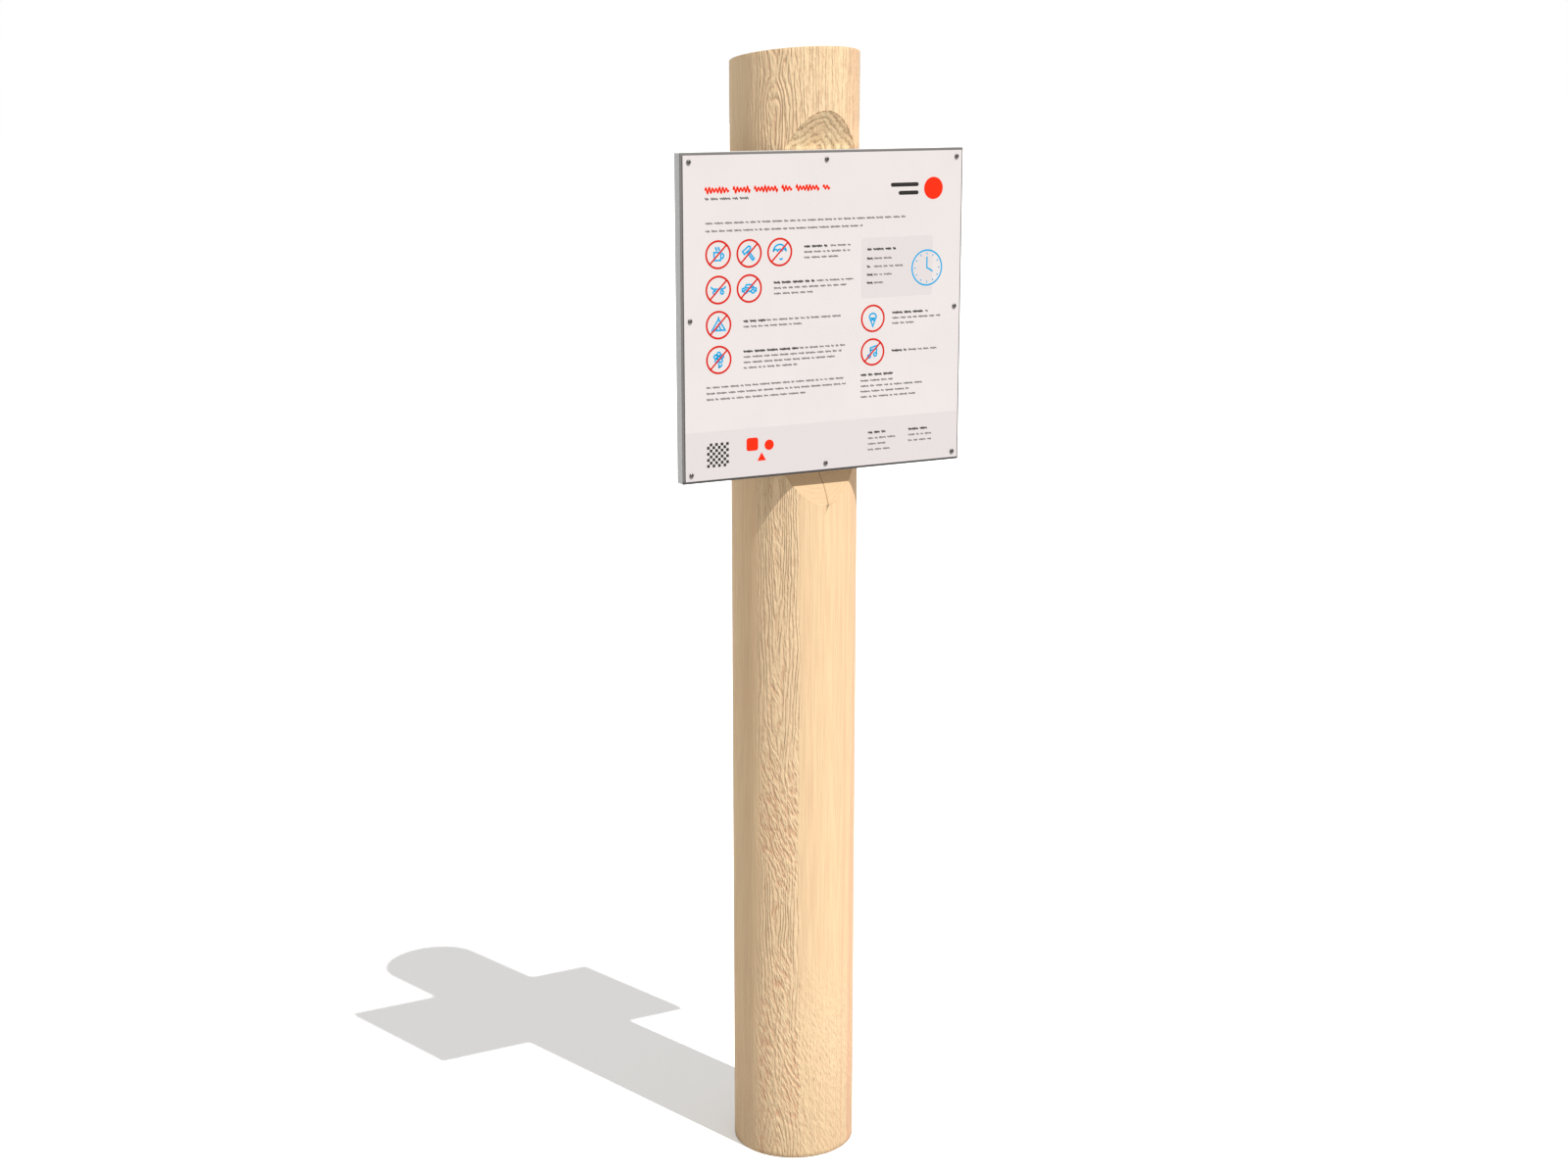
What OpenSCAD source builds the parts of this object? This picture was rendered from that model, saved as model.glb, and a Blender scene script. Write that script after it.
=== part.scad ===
// Playground sign: a square printed panel let into the front of a round timber post.
// Millimetres, +Z up, the panel faces -Y, and the origin is the centre of the post's foot.

/* [Post] */
// Diameter of the turned post
post_d = 200; // [160:1:240]
// Height of the post's highest point, at its front
post_h = 1800; // [1700:5:2200]
// How much the slanted top falls from front to rear
top_fall = 30; // [5:1:60]

/* [Seat cut into the post] */
// Depth of the flat seat behind the post's foremost line
seat_depth = 20; // [12:1:30]
// How far the flat seat runs past the board, above and below
seat_margin = 5; // [0:1:20]
// Height of the ramp above the seat, up to the round face
ramp_up_h = 53; // [25:1:80]
// Height of the ramp below the seat, down to the round face
ramp_down_h = 48; // [25:1:80]

/* [Board] */
// Side of the square carrier board
board_size = 490; // [400:1:560]
// Thickness of the carrier board
board_t = 19; // [15:1:25]
// Width of the chamfer that eases the board's edges
board_ease = 1; // [0.5:0.25:2]
// Distance from the post's highest point down to the board's centre
board_drop = 397; // [360:1:420]

/* [Printed plate] */
// Width of the board that shows around the plate
plate_margin = 4; // [2:0.5:10]
// Thickness of each outer skin
skin_t = 0.3; // [0.2:0.05:0.5]
// Thickness of the dark core between the skins
core_t = 1.4; // [1:0.1:3]

/* [Face screws] */
// Distance from the plate's edge to a screw's axis
screw_inset = 9.5; // [7:0.5:20]
// Diameter of the domed head
screw_head_d = 7; // [6:0.5:8]
// Height of the domed head
screw_head_h = 2.6; // [2.2:0.1:3.2]
// Height of the head's straight rim below the dome
screw_rim_h = 1.2; // [0.8:0.1:1.4]
// Diameter of the shank
screw_d = 4.2; // [3.5:0.1:4.6]
// Length of the shank below the head, with its point
screw_l = 16; // [10:1:17]
// Length of the shank's point
screw_point_l = 4; // [2:0.5:6]
// Width across the flats of the hexagon socket
screw_socket_af = 2.5; // [2:0.1:3]
// Depth of the hexagon socket
screw_socket_depth = 1.4; // [1:0.1:1.6]

/* [Coach screws behind the plate] */
// Distance between the two columns of coach screws
coach_gap_x = 60; // [40:1:70]
// Distance from the board's upper or lower edge to the nearer row of coach screws
coach_inset = 75; // [40:1:120]
// Diameter of the shank
coach_d = 8; // [6:0.5:10]
// Length of the shank below the head, with its point
coach_l = 70; // [50:1:80]
// Length of the shank's point
coach_point_l = 8; // [4:0.5:12]
// Width across the flats of the head
coach_head_af = 13; // [12:0.5:15]
// Height of the head
coach_head_h = 5.5; // [4:0.5:6.5]
// Outer diameter of the washer
washer_d = 24; // [20:0.5:28]
// Thickness of the washer
washer_t = 2; // [1:0.25:2.5]
// Space left between a coach screw's head and the plate
head_room = 1; // [0.5:0.25:2]

/* [Anchor sleeve in the foot] */
// Outer diameter of the sleeve
sleeve_d = 34; // [26:1:48]
// Wall of the sleeve
sleeve_wall = 3; // [2:0.5:5]
// Length of the sleeve
sleeve_l = 200; // [100:5:300]

/* [Clearances] */
// Play around a screw's shank in the bore it is driven into
driven_play = 0.05; // [0.02:0.01:0.1]
// Play around a shank that only passes through
through_play = 0.5; // [0.25:0.05:0.8]
// Play around a washer in its counterbore
washer_play = 1; // [0.5:0.25:2]
// Play between the sleeve and its bore
sleeve_play = 0.1; // [0.05:0.05:0.3]
// Empty depth left beyond the end of a driven screw or the sleeve
end_room = 1; // [0.5:0.5:3]

/* [Hidden] */
round_fn = 128;
small_fn = 64;
overlap = 1;
// Width of a screw point's blunt end as a share of its shank
point_share = 0.2;

post_r = post_d / 2;
top_angle = atan(top_fall / post_d);

board_z = post_h - board_drop;
seat_y = seat_depth - post_r;
seat_h = board_size + 2 * seat_margin;
seat_low = board_z - seat_h / 2;
seat_high = board_z + seat_h / 2;

board_front = seat_y - board_t;
plate_size = board_size - 2 * plate_margin;
core_rear = board_front - skin_t;
core_front = core_rear - core_t;
plate_front = core_front - skin_t;

// Which way each face screw lies from the middle of the plate
screw_dirs = [for (row = [1, 0, -1], col = [-1, 0, 1]) if (row != 0 || col != 0) [col, row]];
screw_reach = plate_size / 2 - screw_inset;
screw_names = [for (i = [1:len(screw_dirs)]) str("face_screw_", i)];

// Which way each coach screw lies from the middle of the board
coach_dirs = [for (row = [1, -1], col = [-1, 1]) [col, row]];
coach_names = [for (i = [1:len(coach_dirs)]) str("coach_screw_", i)];
washer_names = [for (i = [1:len(coach_dirs)]) str("washer_", i)];
counterbore_depth = washer_t + coach_head_h + head_room;
counterbore_floor = board_front + counterbore_depth;
coach_seat = counterbore_floor - washer_t;
coach_tip = coach_seat + coach_l;
coach_reach_x = coach_gap_x / 2;
coach_reach_z = board_size / 2 - coach_inset;

sleeve_bore_d = sleeve_d - 2 * sleeve_wall;

// Round bar along Y between two depths
module bar_y(d, from_y, to_y, fn = small_fn) {
    translate([0, from_y, 0])
        rotate([-90, 0, 0])
            cylinder(d = d, h = to_y - from_y, $fn = fn);
}

// Copies its child to every face screw's axis
module at_face_screws() {
    for (dir = screw_dirs)
        translate([dir[0] * screw_reach, 0, board_z + dir[1] * screw_reach]) children();
}

// Copies its child to every coach screw's axis
module at_coach_screws() {
    for (dir = coach_dirs)
        translate([dir[0] * coach_reach_x, 0, board_z + dir[1] * coach_reach_z]) children();
}

// Square sheet that stands upright between two depths
module sheet(side, from_y, to_y) {
    translate([-side / 2, from_y, board_z - side / 2])
        cube([side, to_y - from_y, side]);
}

// Rectangle about the origin with its four corners cut off at 45 degrees
module eased_rect(width, height, ease) {
    half_w = width / 2;
    half_h = height / 2;
    polygon([
        [ease - half_w, -half_h],
        [half_w - ease, -half_h],
        [half_w, ease - half_h],
        [half_w, half_h - ease],
        [half_w - ease, half_h],
        [ease - half_w, half_h],
        [-half_w, half_h - ease],
        [-half_w, ease - half_h],
    ]);
}

// Square sheet like the one above, with a chamfer along all twelve edges
module eased_sheet(side, from_y, to_y, ease) {
    thickness = to_y - from_y;
    translate([0, (from_y + to_y) / 2, board_z])
        intersection() {
            linear_extrude(height = side, center = true) eased_rect(side, thickness, ease);
            rotate([0, 90, 0])
                linear_extrude(height = side, center = true) eased_rect(side, thickness, ease);
            rotate([90, 0, 0])
                linear_extrude(height = thickness, center = true) eased_rect(side, side, ease);
        }
}

// Prism that leaves the flat seat and its two ramps when it is cut from the post
module seat_cutter() {
    reach = seat_depth + overlap;
    rotate([90, 0, 90])
        linear_extrude(height = post_d + 2 * overlap, center = true)
            polygon([
                [seat_y, seat_low],
                [seat_y, seat_high],
                [seat_y - reach, seat_high + ramp_up_h * reach / seat_depth],
                [seat_y - reach, seat_low - ramp_down_h * reach / seat_depth],
            ]);
}

// Block above the slanted top
module top_cutter() {
    span = 2 * post_d;
    translate([0, -post_r, post_h])
        rotate([-top_angle, 0, 0])
            translate([-span / 2, -span / 2, 0])
                cube([span, 2 * span, span]);
}

module post() {
    color([0.95, 0.82, 0.62])
        difference() {
            cylinder(d = post_d, h = post_h + overlap, $fn = round_fn);
            top_cutter();
            seat_cutter();
            at_coach_screws()
                bar_y(coach_d + 2 * driven_play, seat_y - overlap, coach_tip + end_room);
            translate([0, 0, -overlap])
                cylinder(d = sleeve_d + 2 * sleeve_play, h = sleeve_l + end_room + overlap, $fn = round_fn);
        }
}

module board() {
    color([0.66, 0.66, 0.65])
        difference() {
            eased_sheet(board_size, board_front, seat_y, board_ease);
            at_face_screws()
                bar_y(screw_d + 2 * driven_play, board_front - overlap, plate_front + screw_l + end_room);
            at_coach_screws() {
                bar_y(coach_d + 2 * through_play, board_front - overlap, seat_y + overlap);
                bar_y(washer_d + 2 * washer_play, board_front - overlap, counterbore_floor);
            }
        }
}

// One layer of the plate, with a clearance hole for each face screw
module plate_layer(from_y, to_y) {
    difference() {
        sheet(plate_size, from_y, to_y);
        at_face_screws()
            bar_y(screw_d + 2 * through_play, from_y - overlap, to_y + overlap);
    }
}

module rear_skin() {
    color([0.90, 0.89, 0.88]) plate_layer(core_rear, board_front);
}

module plate_core() {
    color([0.12, 0.12, 0.13]) plate_layer(core_front, core_rear);
}

module front_skin() {
    color([0.95, 0.92, 0.91]) plate_layer(plate_front, core_front);
}

// Domed head that stands on the plate, without its socket
module screw_head() {
    dome_h = screw_head_h - screw_rim_h;
    dome_r = (pow(screw_head_d / 2, 2) + dome_h * dome_h) / (2 * dome_h);
    intersection() {
        cylinder(d = screw_head_d, h = screw_head_h, $fn = small_fn);
        translate([0, 0, screw_head_h - dome_r])
            sphere(r = dome_r, $fn = small_fn);
    }
}

// Shank below the head, which reaches up into the rim and ends in a point
module screw_shank() {
    straight_l = screw_l - screw_point_l;
    translate([0, 0, -straight_l])
        cylinder(d = screw_d, h = straight_l + screw_rim_h / 2, $fn = small_fn);
    translate([0, 0, -screw_l])
        cylinder(d1 = screw_d * point_share, d2 = screw_d, h = screw_point_l, $fn = small_fn);
}

// Domed screw with a hexagon socket, at one place on the plate
module face_screw(index) {
    dir = screw_dirs[index];
    color([0.32, 0.32, 0.33])
        translate([dir[0] * screw_reach, plate_front, board_z + dir[1] * screw_reach])
            rotate([90, 0, 0])
                difference() {
                    union() {
                        screw_head();
                        screw_shank();
                    }
                    translate([0, 0, screw_head_h - screw_socket_depth])
                        cylinder(d = screw_socket_af / cos(30), h = screw_socket_depth + overlap, $fn = 6);
                }
}

module coach_screw(index) {
    dir = coach_dirs[index];
    color([0.62, 0.64, 0.66])
        translate([dir[0] * coach_reach_x, 0, board_z + dir[1] * coach_reach_z]) {
            bar_y(coach_head_af / cos(30), coach_seat - coach_head_h, coach_seat, 6);
            bar_y(coach_d, coach_seat - coach_head_h / 2, coach_tip - coach_point_l);
            translate([0, coach_tip - coach_point_l, 0])
                rotate([-90, 0, 0])
                    cylinder(d1 = coach_d, d2 = coach_d * point_share, h = coach_point_l, $fn = small_fn);
        }
}

module washer(index) {
    dir = coach_dirs[index];
    color([0.66, 0.68, 0.70])
        translate([dir[0] * coach_reach_x, 0, board_z + dir[1] * coach_reach_z])
            difference() {
                bar_y(washer_d, coach_seat, counterbore_floor);
                bar_y(coach_d + 2 * driven_play, coach_seat - overlap, counterbore_floor + overlap);
            }
}

module anchor_sleeve() {
    color([0.60, 0.61, 0.62])
        difference() {
            cylinder(d = sleeve_d, h = sleeve_l, $fn = round_fn);
            translate([0, 0, -overlap])
                cylinder(d = sleeve_bore_d, h = sleeve_l + 2 * overlap, $fn = round_fn);
        }
}

post();
board();
rear_skin();
plate_core();
front_skin();
anchor_sleeve();
for (i = [0:len(screw_names) - 1])
    face_screw(i);
for (i = [0:len(coach_names) - 1])
    coach_screw(i);
for (i = [0:len(washer_names) - 1])
    washer(i);
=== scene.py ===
"""Dresses a playground sign: a turned timber post with a printed panel let into its front."""
import logging
import math
from dataclasses import dataclass, field
from enum import Enum

import bpy
import numpy as np
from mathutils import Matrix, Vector


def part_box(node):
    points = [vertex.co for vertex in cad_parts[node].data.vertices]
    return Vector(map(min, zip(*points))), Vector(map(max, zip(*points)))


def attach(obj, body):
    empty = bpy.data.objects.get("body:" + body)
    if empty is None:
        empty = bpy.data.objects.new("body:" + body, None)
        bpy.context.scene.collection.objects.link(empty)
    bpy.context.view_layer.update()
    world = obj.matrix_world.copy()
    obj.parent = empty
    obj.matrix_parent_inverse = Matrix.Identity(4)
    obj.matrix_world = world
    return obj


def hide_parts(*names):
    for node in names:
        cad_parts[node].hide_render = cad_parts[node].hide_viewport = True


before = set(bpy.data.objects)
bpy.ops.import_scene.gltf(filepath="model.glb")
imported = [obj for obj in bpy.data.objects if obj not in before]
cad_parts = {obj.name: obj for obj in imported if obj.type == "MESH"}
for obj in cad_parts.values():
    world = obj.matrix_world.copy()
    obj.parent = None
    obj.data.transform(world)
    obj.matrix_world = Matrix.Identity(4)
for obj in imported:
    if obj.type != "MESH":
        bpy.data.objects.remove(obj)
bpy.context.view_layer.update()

MM = 0.001

Colour = tuple[float, float, float, float]
Triple = tuple[float, float, float]
Array = np.ndarray
Outline = Array
Material = bpy.types.Material
Piece = bpy.types.Object
Group = bpy.types.NodeTree
Socket = bpy.types.NodeSocket
WHITE: Colour = (1.0, 1.0, 1.0, 1.0)

logging.basicConfig(level=logging.INFO, format="%(name)s: %(message)s")
log = logging.getLogger("sign")


def screen_colour(*parts: float) -> Colour:
    """Turns a colour as a screen shows it into the linear values that a shader takes.

    Args:
        *parts: Red, green and blue from 0 to 255.

    Returns:
        Red, green, blue and alpha from 0 to 1, by the standard screen curve.
    """
    shown = np.array(parts) / 255.0
    linear = np.where(shown <= 0.04045, shown / 12.92, ((shown + 0.055) / 1.055) ** 2.4)
    return (*(float(part) for part in linear), 1.0)


@dataclass(frozen=True)
class WrappedNoise:
    """Smooth noise over angle and height that closes round the post.

    Random values on a grid are joined by cubic splines in both directions.
    """

    seed: int
    around: int
    cell_height: float
    reach: float = 2.0
    swing: float = 1.6

    def __call__(self, angle: Array, height: Array) -> Array:
        """Reads the noise.

        Args:
            angle: Angles round the axis in radians, of any size.
            height: Heights in metres, from 0 to the reach.

        Returns:
            Values mostly from -1 to 1, of the shape that both arguments have together.
        """
        rows = int(math.ceil(self.reach / self.cell_height)) + 4
        grid = np.random.default_rng(self.seed).uniform(-self.swing, self.swing, (rows, self.around))
        across = np.asarray(angle) / (2 * math.pi) % 1.0 * self.around
        up = np.clip(np.asarray(height) / self.cell_height + 1.0, 1.0, rows - 3.001)
        column, row = np.floor(across).astype(int), np.floor(up).astype(int)
        total = 0.0
        for i, row_weight in enumerate(self.spline(up - row)):
            for j, column_weight in enumerate(self.spline(across - column)):
                value = grid[row + i - 1, (column + j - 1) % self.around]
                total = total + row_weight * column_weight * value
        return total

    @staticmethod
    def spline(t: Array) -> tuple[Array, ...]:
        """Weights of the four grid values around a point, by the cubic B-spline."""
        return (
            (1 - t) ** 3 / 6,
            (3 * t**3 - 6 * t**2 + 4) / 6,
            (-3 * t**3 + 3 * t**2 + 3 * t + 1) / 6,
            t**3 / 6,
        )


def smooth_step(value: Array, low: float, high: float) -> Array:
    """Rises smoothly from 0 at low to 1 at high, or falls if low is above high."""
    t = np.clip((np.asarray(value, float) - low) / (high - low), 0.0, 1.0)
    return t * t * (3 - 2 * t)


class NodeTree:
    """A shader node tree with short calls that add nodes, join them and return their output.

    Each value that a call takes is another node's output or a plain value.
    """

    def __init__(self, tree: bpy.types.NodeTree) -> None:
        """Takes the tree that the calls add to."""
        self.tree = tree

    def feed(self, socket: Socket, value: object) -> None:
        """Links an input to an output, or sets its own value.

        Args:
            socket: The input.
            value: The output, or the plain value.
        """
        if isinstance(value, Socket):
            self.tree.links.new(value, socket)
        else:
            socket.default_value = value

    def node(self, kind: str, inputs: dict | None = None, **settings: object) -> bpy.types.Node:
        """Adds one node.

        Args:
            kind: Blender's name for the node's type, without its leading ShaderNode.
            inputs: Values or sockets by input name or number.
            **settings: The node's own properties.

        Returns:
            The new node.
        """
        node = self.tree.nodes.new(kind if kind.startswith("NodeGroup") else f"ShaderNode{kind}")
        for name, value in settings.items():
            setattr(node, name, value)
        for key, value in (inputs or {}).items():
            self.feed(node.inputs[key], value)
        return node

    def maths(self, operation: str, *values: object) -> Socket:
        """Adds a Math node over one to three values."""
        return self.node("Math", dict(enumerate(values)), operation=operation).outputs[0]

    def times(self, first: object, second: object, added: object = 0.0) -> Socket:
        """Multiplies two values and adds a third."""
        return self.maths("MULTIPLY_ADD", first, second, added)

    def rest(self, value: object) -> Socket:
        """Takes a value from 1."""
        return self.maths("SUBTRACT", 1.0, value)

    def larger(self, first: object, second: object) -> Socket:
        """Takes the larger of two values."""
        return self.maths("MAXIMUM", first, second)

    def noise(self, vector: object, scale: object, detail: float, stretch: object = None) -> Socket:
        """Adds a grey noise, over a vector that may first be scaled by three factors.

        Args:
            vector: Where the noise is read.
            scale: Its scale.
            detail: Its detail.
            stretch: Factors that scale the vector first, if there are any.

        Returns:
            Values about 0.5.
        """
        if stretch is not None:
            vector = self.node("Mapping", {"Vector": vector, "Scale": stretch}).outputs[0]
        return self.node("TexNoise", {"Vector": vector, "Scale": scale, "Detail": detail}).outputs[0]

    def mask(self, value: object, low: object, high: object) -> Socket:
        """Maps a value smoothly from 0 at low to 1 at high."""
        inputs = {"Value": value, "From Min": low, "From Max": high}
        return self.node("MapRange", inputs, interpolation_type="SMOOTHSTEP").outputs[0]

    def between(self, value: object, low: float, high: float) -> Socket:
        """Maps a value from 0 to 1 straight onto low to high."""
        return self.node("MapRange", {"Value": value, "To Min": low, "To Max": high}).outputs[0]

    def mix(self, factor: object, first: object, second: object) -> Socket:
        """Mixes two colours."""
        return self.node("Mix", {0: factor, 6: first, 7: second}, data_type="RGBA").outputs[2]

    def blend(self, factor: object, first: object, second: object) -> Socket:
        """Mixes two values."""
        return self.node("Mix", {0: factor, 2: first, 3: second}, data_type="FLOAT").outputs[0]

    def shade(self, colour: object, factor: object) -> Socket:
        """Multiplies a colour by a grey factor."""
        first = colour[:3] if isinstance(colour, tuple) else colour
        return self.node("VectorMath", {0: first, "Scale": factor}, operation="SCALE").outputs[0]

    def attribute(self, name: str) -> Socket:
        """Reads a number that the mesh carries."""
        return self.node("Attribute", attribute_name=name).outputs["Fac"]

    def parts(self, vector: object) -> bpy.types.NodeOutputs:
        """Takes a vector apart into X, Y and Z."""
        return self.node("SeparateXYZ", {"Vector": vector}).outputs

    def join(self, **parts: object) -> Socket:
        """Makes a vector from X, Y and Z, of which those left out are 0."""
        return self.node("CombineXYZ", parts).outputs[0]

    def group(self, group: Group, **inputs: object) -> bpy.types.NodeOutputs:
        """Adds a group node with its inputs by name, and returns all its outputs."""
        return self.node("Group", inputs, node_tree=group).outputs


class GroupMaker(NodeTree):
    """Builds a shader node group with named inputs and outputs."""

    def __init__(self, name: str, inputs: dict[str, str], outputs: tuple[str, ...]) -> None:
        """Starts a group.

        Args:
            name: The group's name.
            inputs: The kind of each input's socket, by its name.
            outputs: The outputs' names.
        """
        self.made = bpy.data.node_groups.new(name, "ShaderNodeTree")
        sockets = [(key, "INPUT", kind) for key, kind in inputs.items()]
        sockets += [(key, "OUTPUT", "Float") for key in outputs]
        for key, side, kind in sockets:
            self.made.interface.new_socket(name=key, in_out=side, socket_type=f"NodeSocket{kind}")
        super().__init__(self.made)
        self.given = self.node("NodeGroupInput").outputs
        self.end = self.node("NodeGroupOutput")

    def finish(self, **results: Socket) -> Group:
        """Joins the results to the group's outputs and returns the group.

        Args:
            **results: The value of each output, by its name.

        Returns:
            The group.
        """
        for name, socket in results.items():
            self.feed(self.end.inputs[name], socket)
        return self.made


def make_grain_group() -> Group:
    """Upright timber grain: fine fibres, narrow bands, broad tone, small pits and torn shreds.

    Each is a noise, given as its squash along Z, its scale, its detail and the range that it maps
    onto 0 to 1.

    Returns:
        The group.
    """
    looks = {
        "Fibre": (0.03, 780.0, 3.0, 0.3, 0.7),
        "Band": (0.03, 300.0, 2.0, 0.32, 0.68),
        "Tone": (0.05, 46.0, 2.0, 0.3, 0.7),
        "Pit": (0.32, 400.0, 2.0, 0.56, 0.68),
        "Fleck": (0.35, 120.0, 3.0, 0.35, 0.65),
        "Shred": (0.27, 210.0, 1.8, 0.3, 0.7),
    }
    maker = GroupMaker("TimberGrain", {"Vector": "Vector"}, tuple(looks))
    results = {}
    for name, (squash, scale, detail, low, high) in looks.items():
        grey = maker.noise(maker.given["Vector"], scale, detail, (1.0, 1.0, squash))
        results[name] = maker.mask(grey, low, high)
    return maker.finish(**results)


def make_line_group() -> Group:
    """A thin line wherever a phase is half way between whole numbers, and rounded crests between.

    Returns:
        The group.
    """
    sockets = {"Vector": "Vector", "Phase": "Float", "Wander": "Float", "Width": "Float"}
    maker = GroupMaker("GrowthLine", sockets, ("Line", "Crest"))
    given = maker.given
    wobble = maker.noise(given["Vector"], 300.0, 3.0, (1.0, 1.0, 0.18))
    turns = maker.maths("FRACT", maker.times(wobble, given["Wander"], given["Phase"]))
    distance = maker.maths("ABSOLUTE", maker.maths("SUBTRACT", turns, 0.5))
    line = maker.mask(distance, given["Width"], 0.0)
    return maker.finish(Line=line, Crest=maker.mask(distance, 0.0, 0.5))


def make_mottle_group() -> Group:
    """Fine uneven tone, a pebbled height and rare specks for plastics, films and inks.

    Returns:
        The group.
    """
    sockets = {"Vector": "Vector", "Scale": "Float"}
    maker = GroupMaker("SurfaceMottle", sockets, ("Cloud", "Pebble", "Speck"))
    vector = maker.given["Vector"]
    return maker.finish(
        Cloud=maker.mask(maker.noise(vector, 14.0, 4.0), 0.3, 0.7),
        Pebble=maker.noise(vector, maker.given["Scale"], 2.0),
        Speck=maker.mask(maker.noise(vector, 260.0, 1.0), 0.70, 0.78),
    )


def make_scratch_group() -> Group:
    """Fine scratches along one axis and cloudy patches for metals and sawn edges.

    Returns:
        The group.
    """
    sockets = {"Vector": "Vector", "Stretch": "Vector"}
    maker = GroupMaker("FineScratch", sockets, ("Scratch", "Patch"))
    vector = maker.given["Vector"]
    return maker.finish(
        Scratch=maker.mask(maker.noise(vector, 1500.0, 2.0, maker.given["Stretch"]), 0.35, 0.65),
        Patch=maker.mask(maker.noise(vector, 320.0, 3.0), 0.35, 0.65),
    )


@dataclass(frozen=True)
class Workshop:
    """The shared node groups, built once and handed to every finish."""

    grain: Group = field(default_factory=make_grain_group)
    line: Group = field(default_factory=make_line_group)
    mottle: Group = field(default_factory=make_mottle_group)
    scratch: Group = field(default_factory=make_scratch_group)


class Coat(NodeTree):
    """A new material: its node tree, and the Principled shader that one call feeds."""

    def __init__(self, name: str) -> None:
        """Starts a material.

        Args:
            name: Its name.
        """
        self.material = bpy.data.materials.new(name)
        self.material.use_nodes = True
        super().__init__(self.material.node_tree)
        self.tree.nodes.clear()
        self.place = self.node("TexCoord").outputs["Object"]

    def finish(
        self,
        colour: object,
        roughness: object,
        height: object,
        depth: float,
        gloss: float = 0.5,
        metallic: float = 0.0,
    ) -> Material:
        """Feeds the shader.

        Args:
            colour: The base colour.
            roughness: The roughness.
            height: The relief, from 0 to 1.
            depth: How high 1 stands, in metres.
            gloss: The shader's specular level.
            metallic: 1 for a bare metal.

        Returns:
            The finished material.
        """
        bump = self.node("Bump", {"Height": height, "Distance": depth, "Strength": 1.0})
        inputs = {"Base Color": colour, "Roughness": roughness, "Normal": bump.outputs[0]}
        inputs |= {"Specular IOR Level": gloss, "Metallic": metallic}
        shader = self.node("BsdfPrincipled", inputs)
        self.node("OutputMaterial", {"Surface": shader.outputs[0]})
        return self.material


@dataclass(frozen=True)
class TurnedTimber:
    """The post's turned face: pale, with upright fibres and torn, ridged stretches."""

    pale: Colour = (0.965, 0.712, 0.415, 1.0)
    rosy: Colour = (0.955, 0.645, 0.380, 1.0)
    blush: Colour = (0.930, 0.575, 0.350, 1.0)
    raw: Colour = (1.0, 0.738, 0.448, 1.0)
    brown: Colour = (0.68, 0.345, 0.195, 1.0)
    # Painted shade inside the drying crack.
    crack: Colour = (0.16, 0.09, 0.05, 1.0)
    fleck_slant: float = 0.36
    # Heights over which the whole head takes the lighter raw colour, as painted light for the brighter light
    # up there.
    painted_light_from: tuple[float, float] = (1.60, 1.72)
    # Height below which the colour darkens towards the foot, and by how much.
    darker_below: float = 0.22
    foot_darkening: float = 0.13
    # How far the hollows, ridge lines and pits turn brown: partly the torn grain's own colour, partly painted
    # shade in these recesses.
    hollow_dark: float = 0.50
    line_dark: float = 0.60
    pit_dark: float = 0.55
    relief: float = 1.2 * MM
    gloss: float = 0.25

    def make(self, shop: Workshop) -> Material:
        """Builds the material from the shared groups and the values that the mesh carries.

        Args:
            shop: The shared node groups.

        Returns:
            The material.
        """
        coat = Coat("turned_timber")
        grain = coat.group(shop.grain, Vector=coat.place)
        rough, torn = coat.attribute("rough"), coat.attribute("torn")
        level = coat.parts(coat.place)["Z"]
        across = coat.times(level, self.fleck_slant, coat.attribute("around"))
        flecks = coat.group(shop.grain, Vector=coat.join(X=across, Z=level))
        phase = coat.attribute("ridge")
        ridges = coat.group(shop.line, Vector=coat.place, Phase=phase, Wander=0.8, Width=0.24)
        ridged = coat.times(rough, coat.between(torn, 1.15, 0.3))
        line = coat.times(coat.times(ridges["Line"], coat.between(grain["Fleck"], 0.3, 1.0)), ridged)
        shredded = coat.times(rough, coat.between(torn, 0.3, 1.3))
        slanted = coat.mask(torn, 0.3, 0.5)
        pit = coat.times(coat.blend(slanted, grain["Pit"], flecks["Pit"]), shredded)
        hollow = coat.times(coat.rest(coat.blend(slanted, grain["Shred"], flecks["Shred"])), shredded)
        streak = coat.times(grain["Band"], 0.45, coat.times(grain["Tone"], 0.5))
        # The raw colour is the torn wood's own where the face is rough; over the head it is laid all round as
        # painted light.
        bare = coat.larger(coat.times(rough, 0.95), coat.mask(level, *self.painted_light_from))
        tone = coat.mix(bare, coat.mix(streak, self.pale, self.rosy), self.raw)
        darker = coat.times(grain["Fibre"], 0.03)
        darker = coat.times(grain["Band"], coat.between(rough, 0.09, 0.03), darker)
        # Darker towards the foot.
        darker = coat.times(coat.mask(level, self.darker_below, 0.0), self.foot_darkening, darker)
        colour = coat.shade(coat.mix(coat.attribute("blush"), tone, self.blush), coat.rest(darker))
        # Brown in the hollows, ridge lines and pits: partly the torn grain's own colour, partly painted shade
        # in the recesses.
        deep = coat.mask(hollow, 0.45, 0.95)
        for mark, dark in ((deep, self.hollow_dark), (line, self.line_dark), (pit, self.pit_dark)):
            colour = coat.mix(coat.times(mark, dark), colour, self.brown)
        # Painted shade inside the crack.
        colour = coat.mix(coat.attribute("crack"), colour, self.crack)
        height = coat.times(coat.times(ridges["Crest"], ridged), 0.8)
        height = coat.times(grain["Fibre"], coat.times(rough, 0.03, 0.03), height)
        for hole, depth in ((pit, -0.2), (hollow, -0.9), (line, -0.4)):
            height = coat.times(hole, depth, height)
        matt = coat.between(grain["Fibre"], 0.62, 0.74)
        return coat.finish(colour, matt, height, self.relief, self.gloss)


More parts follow.
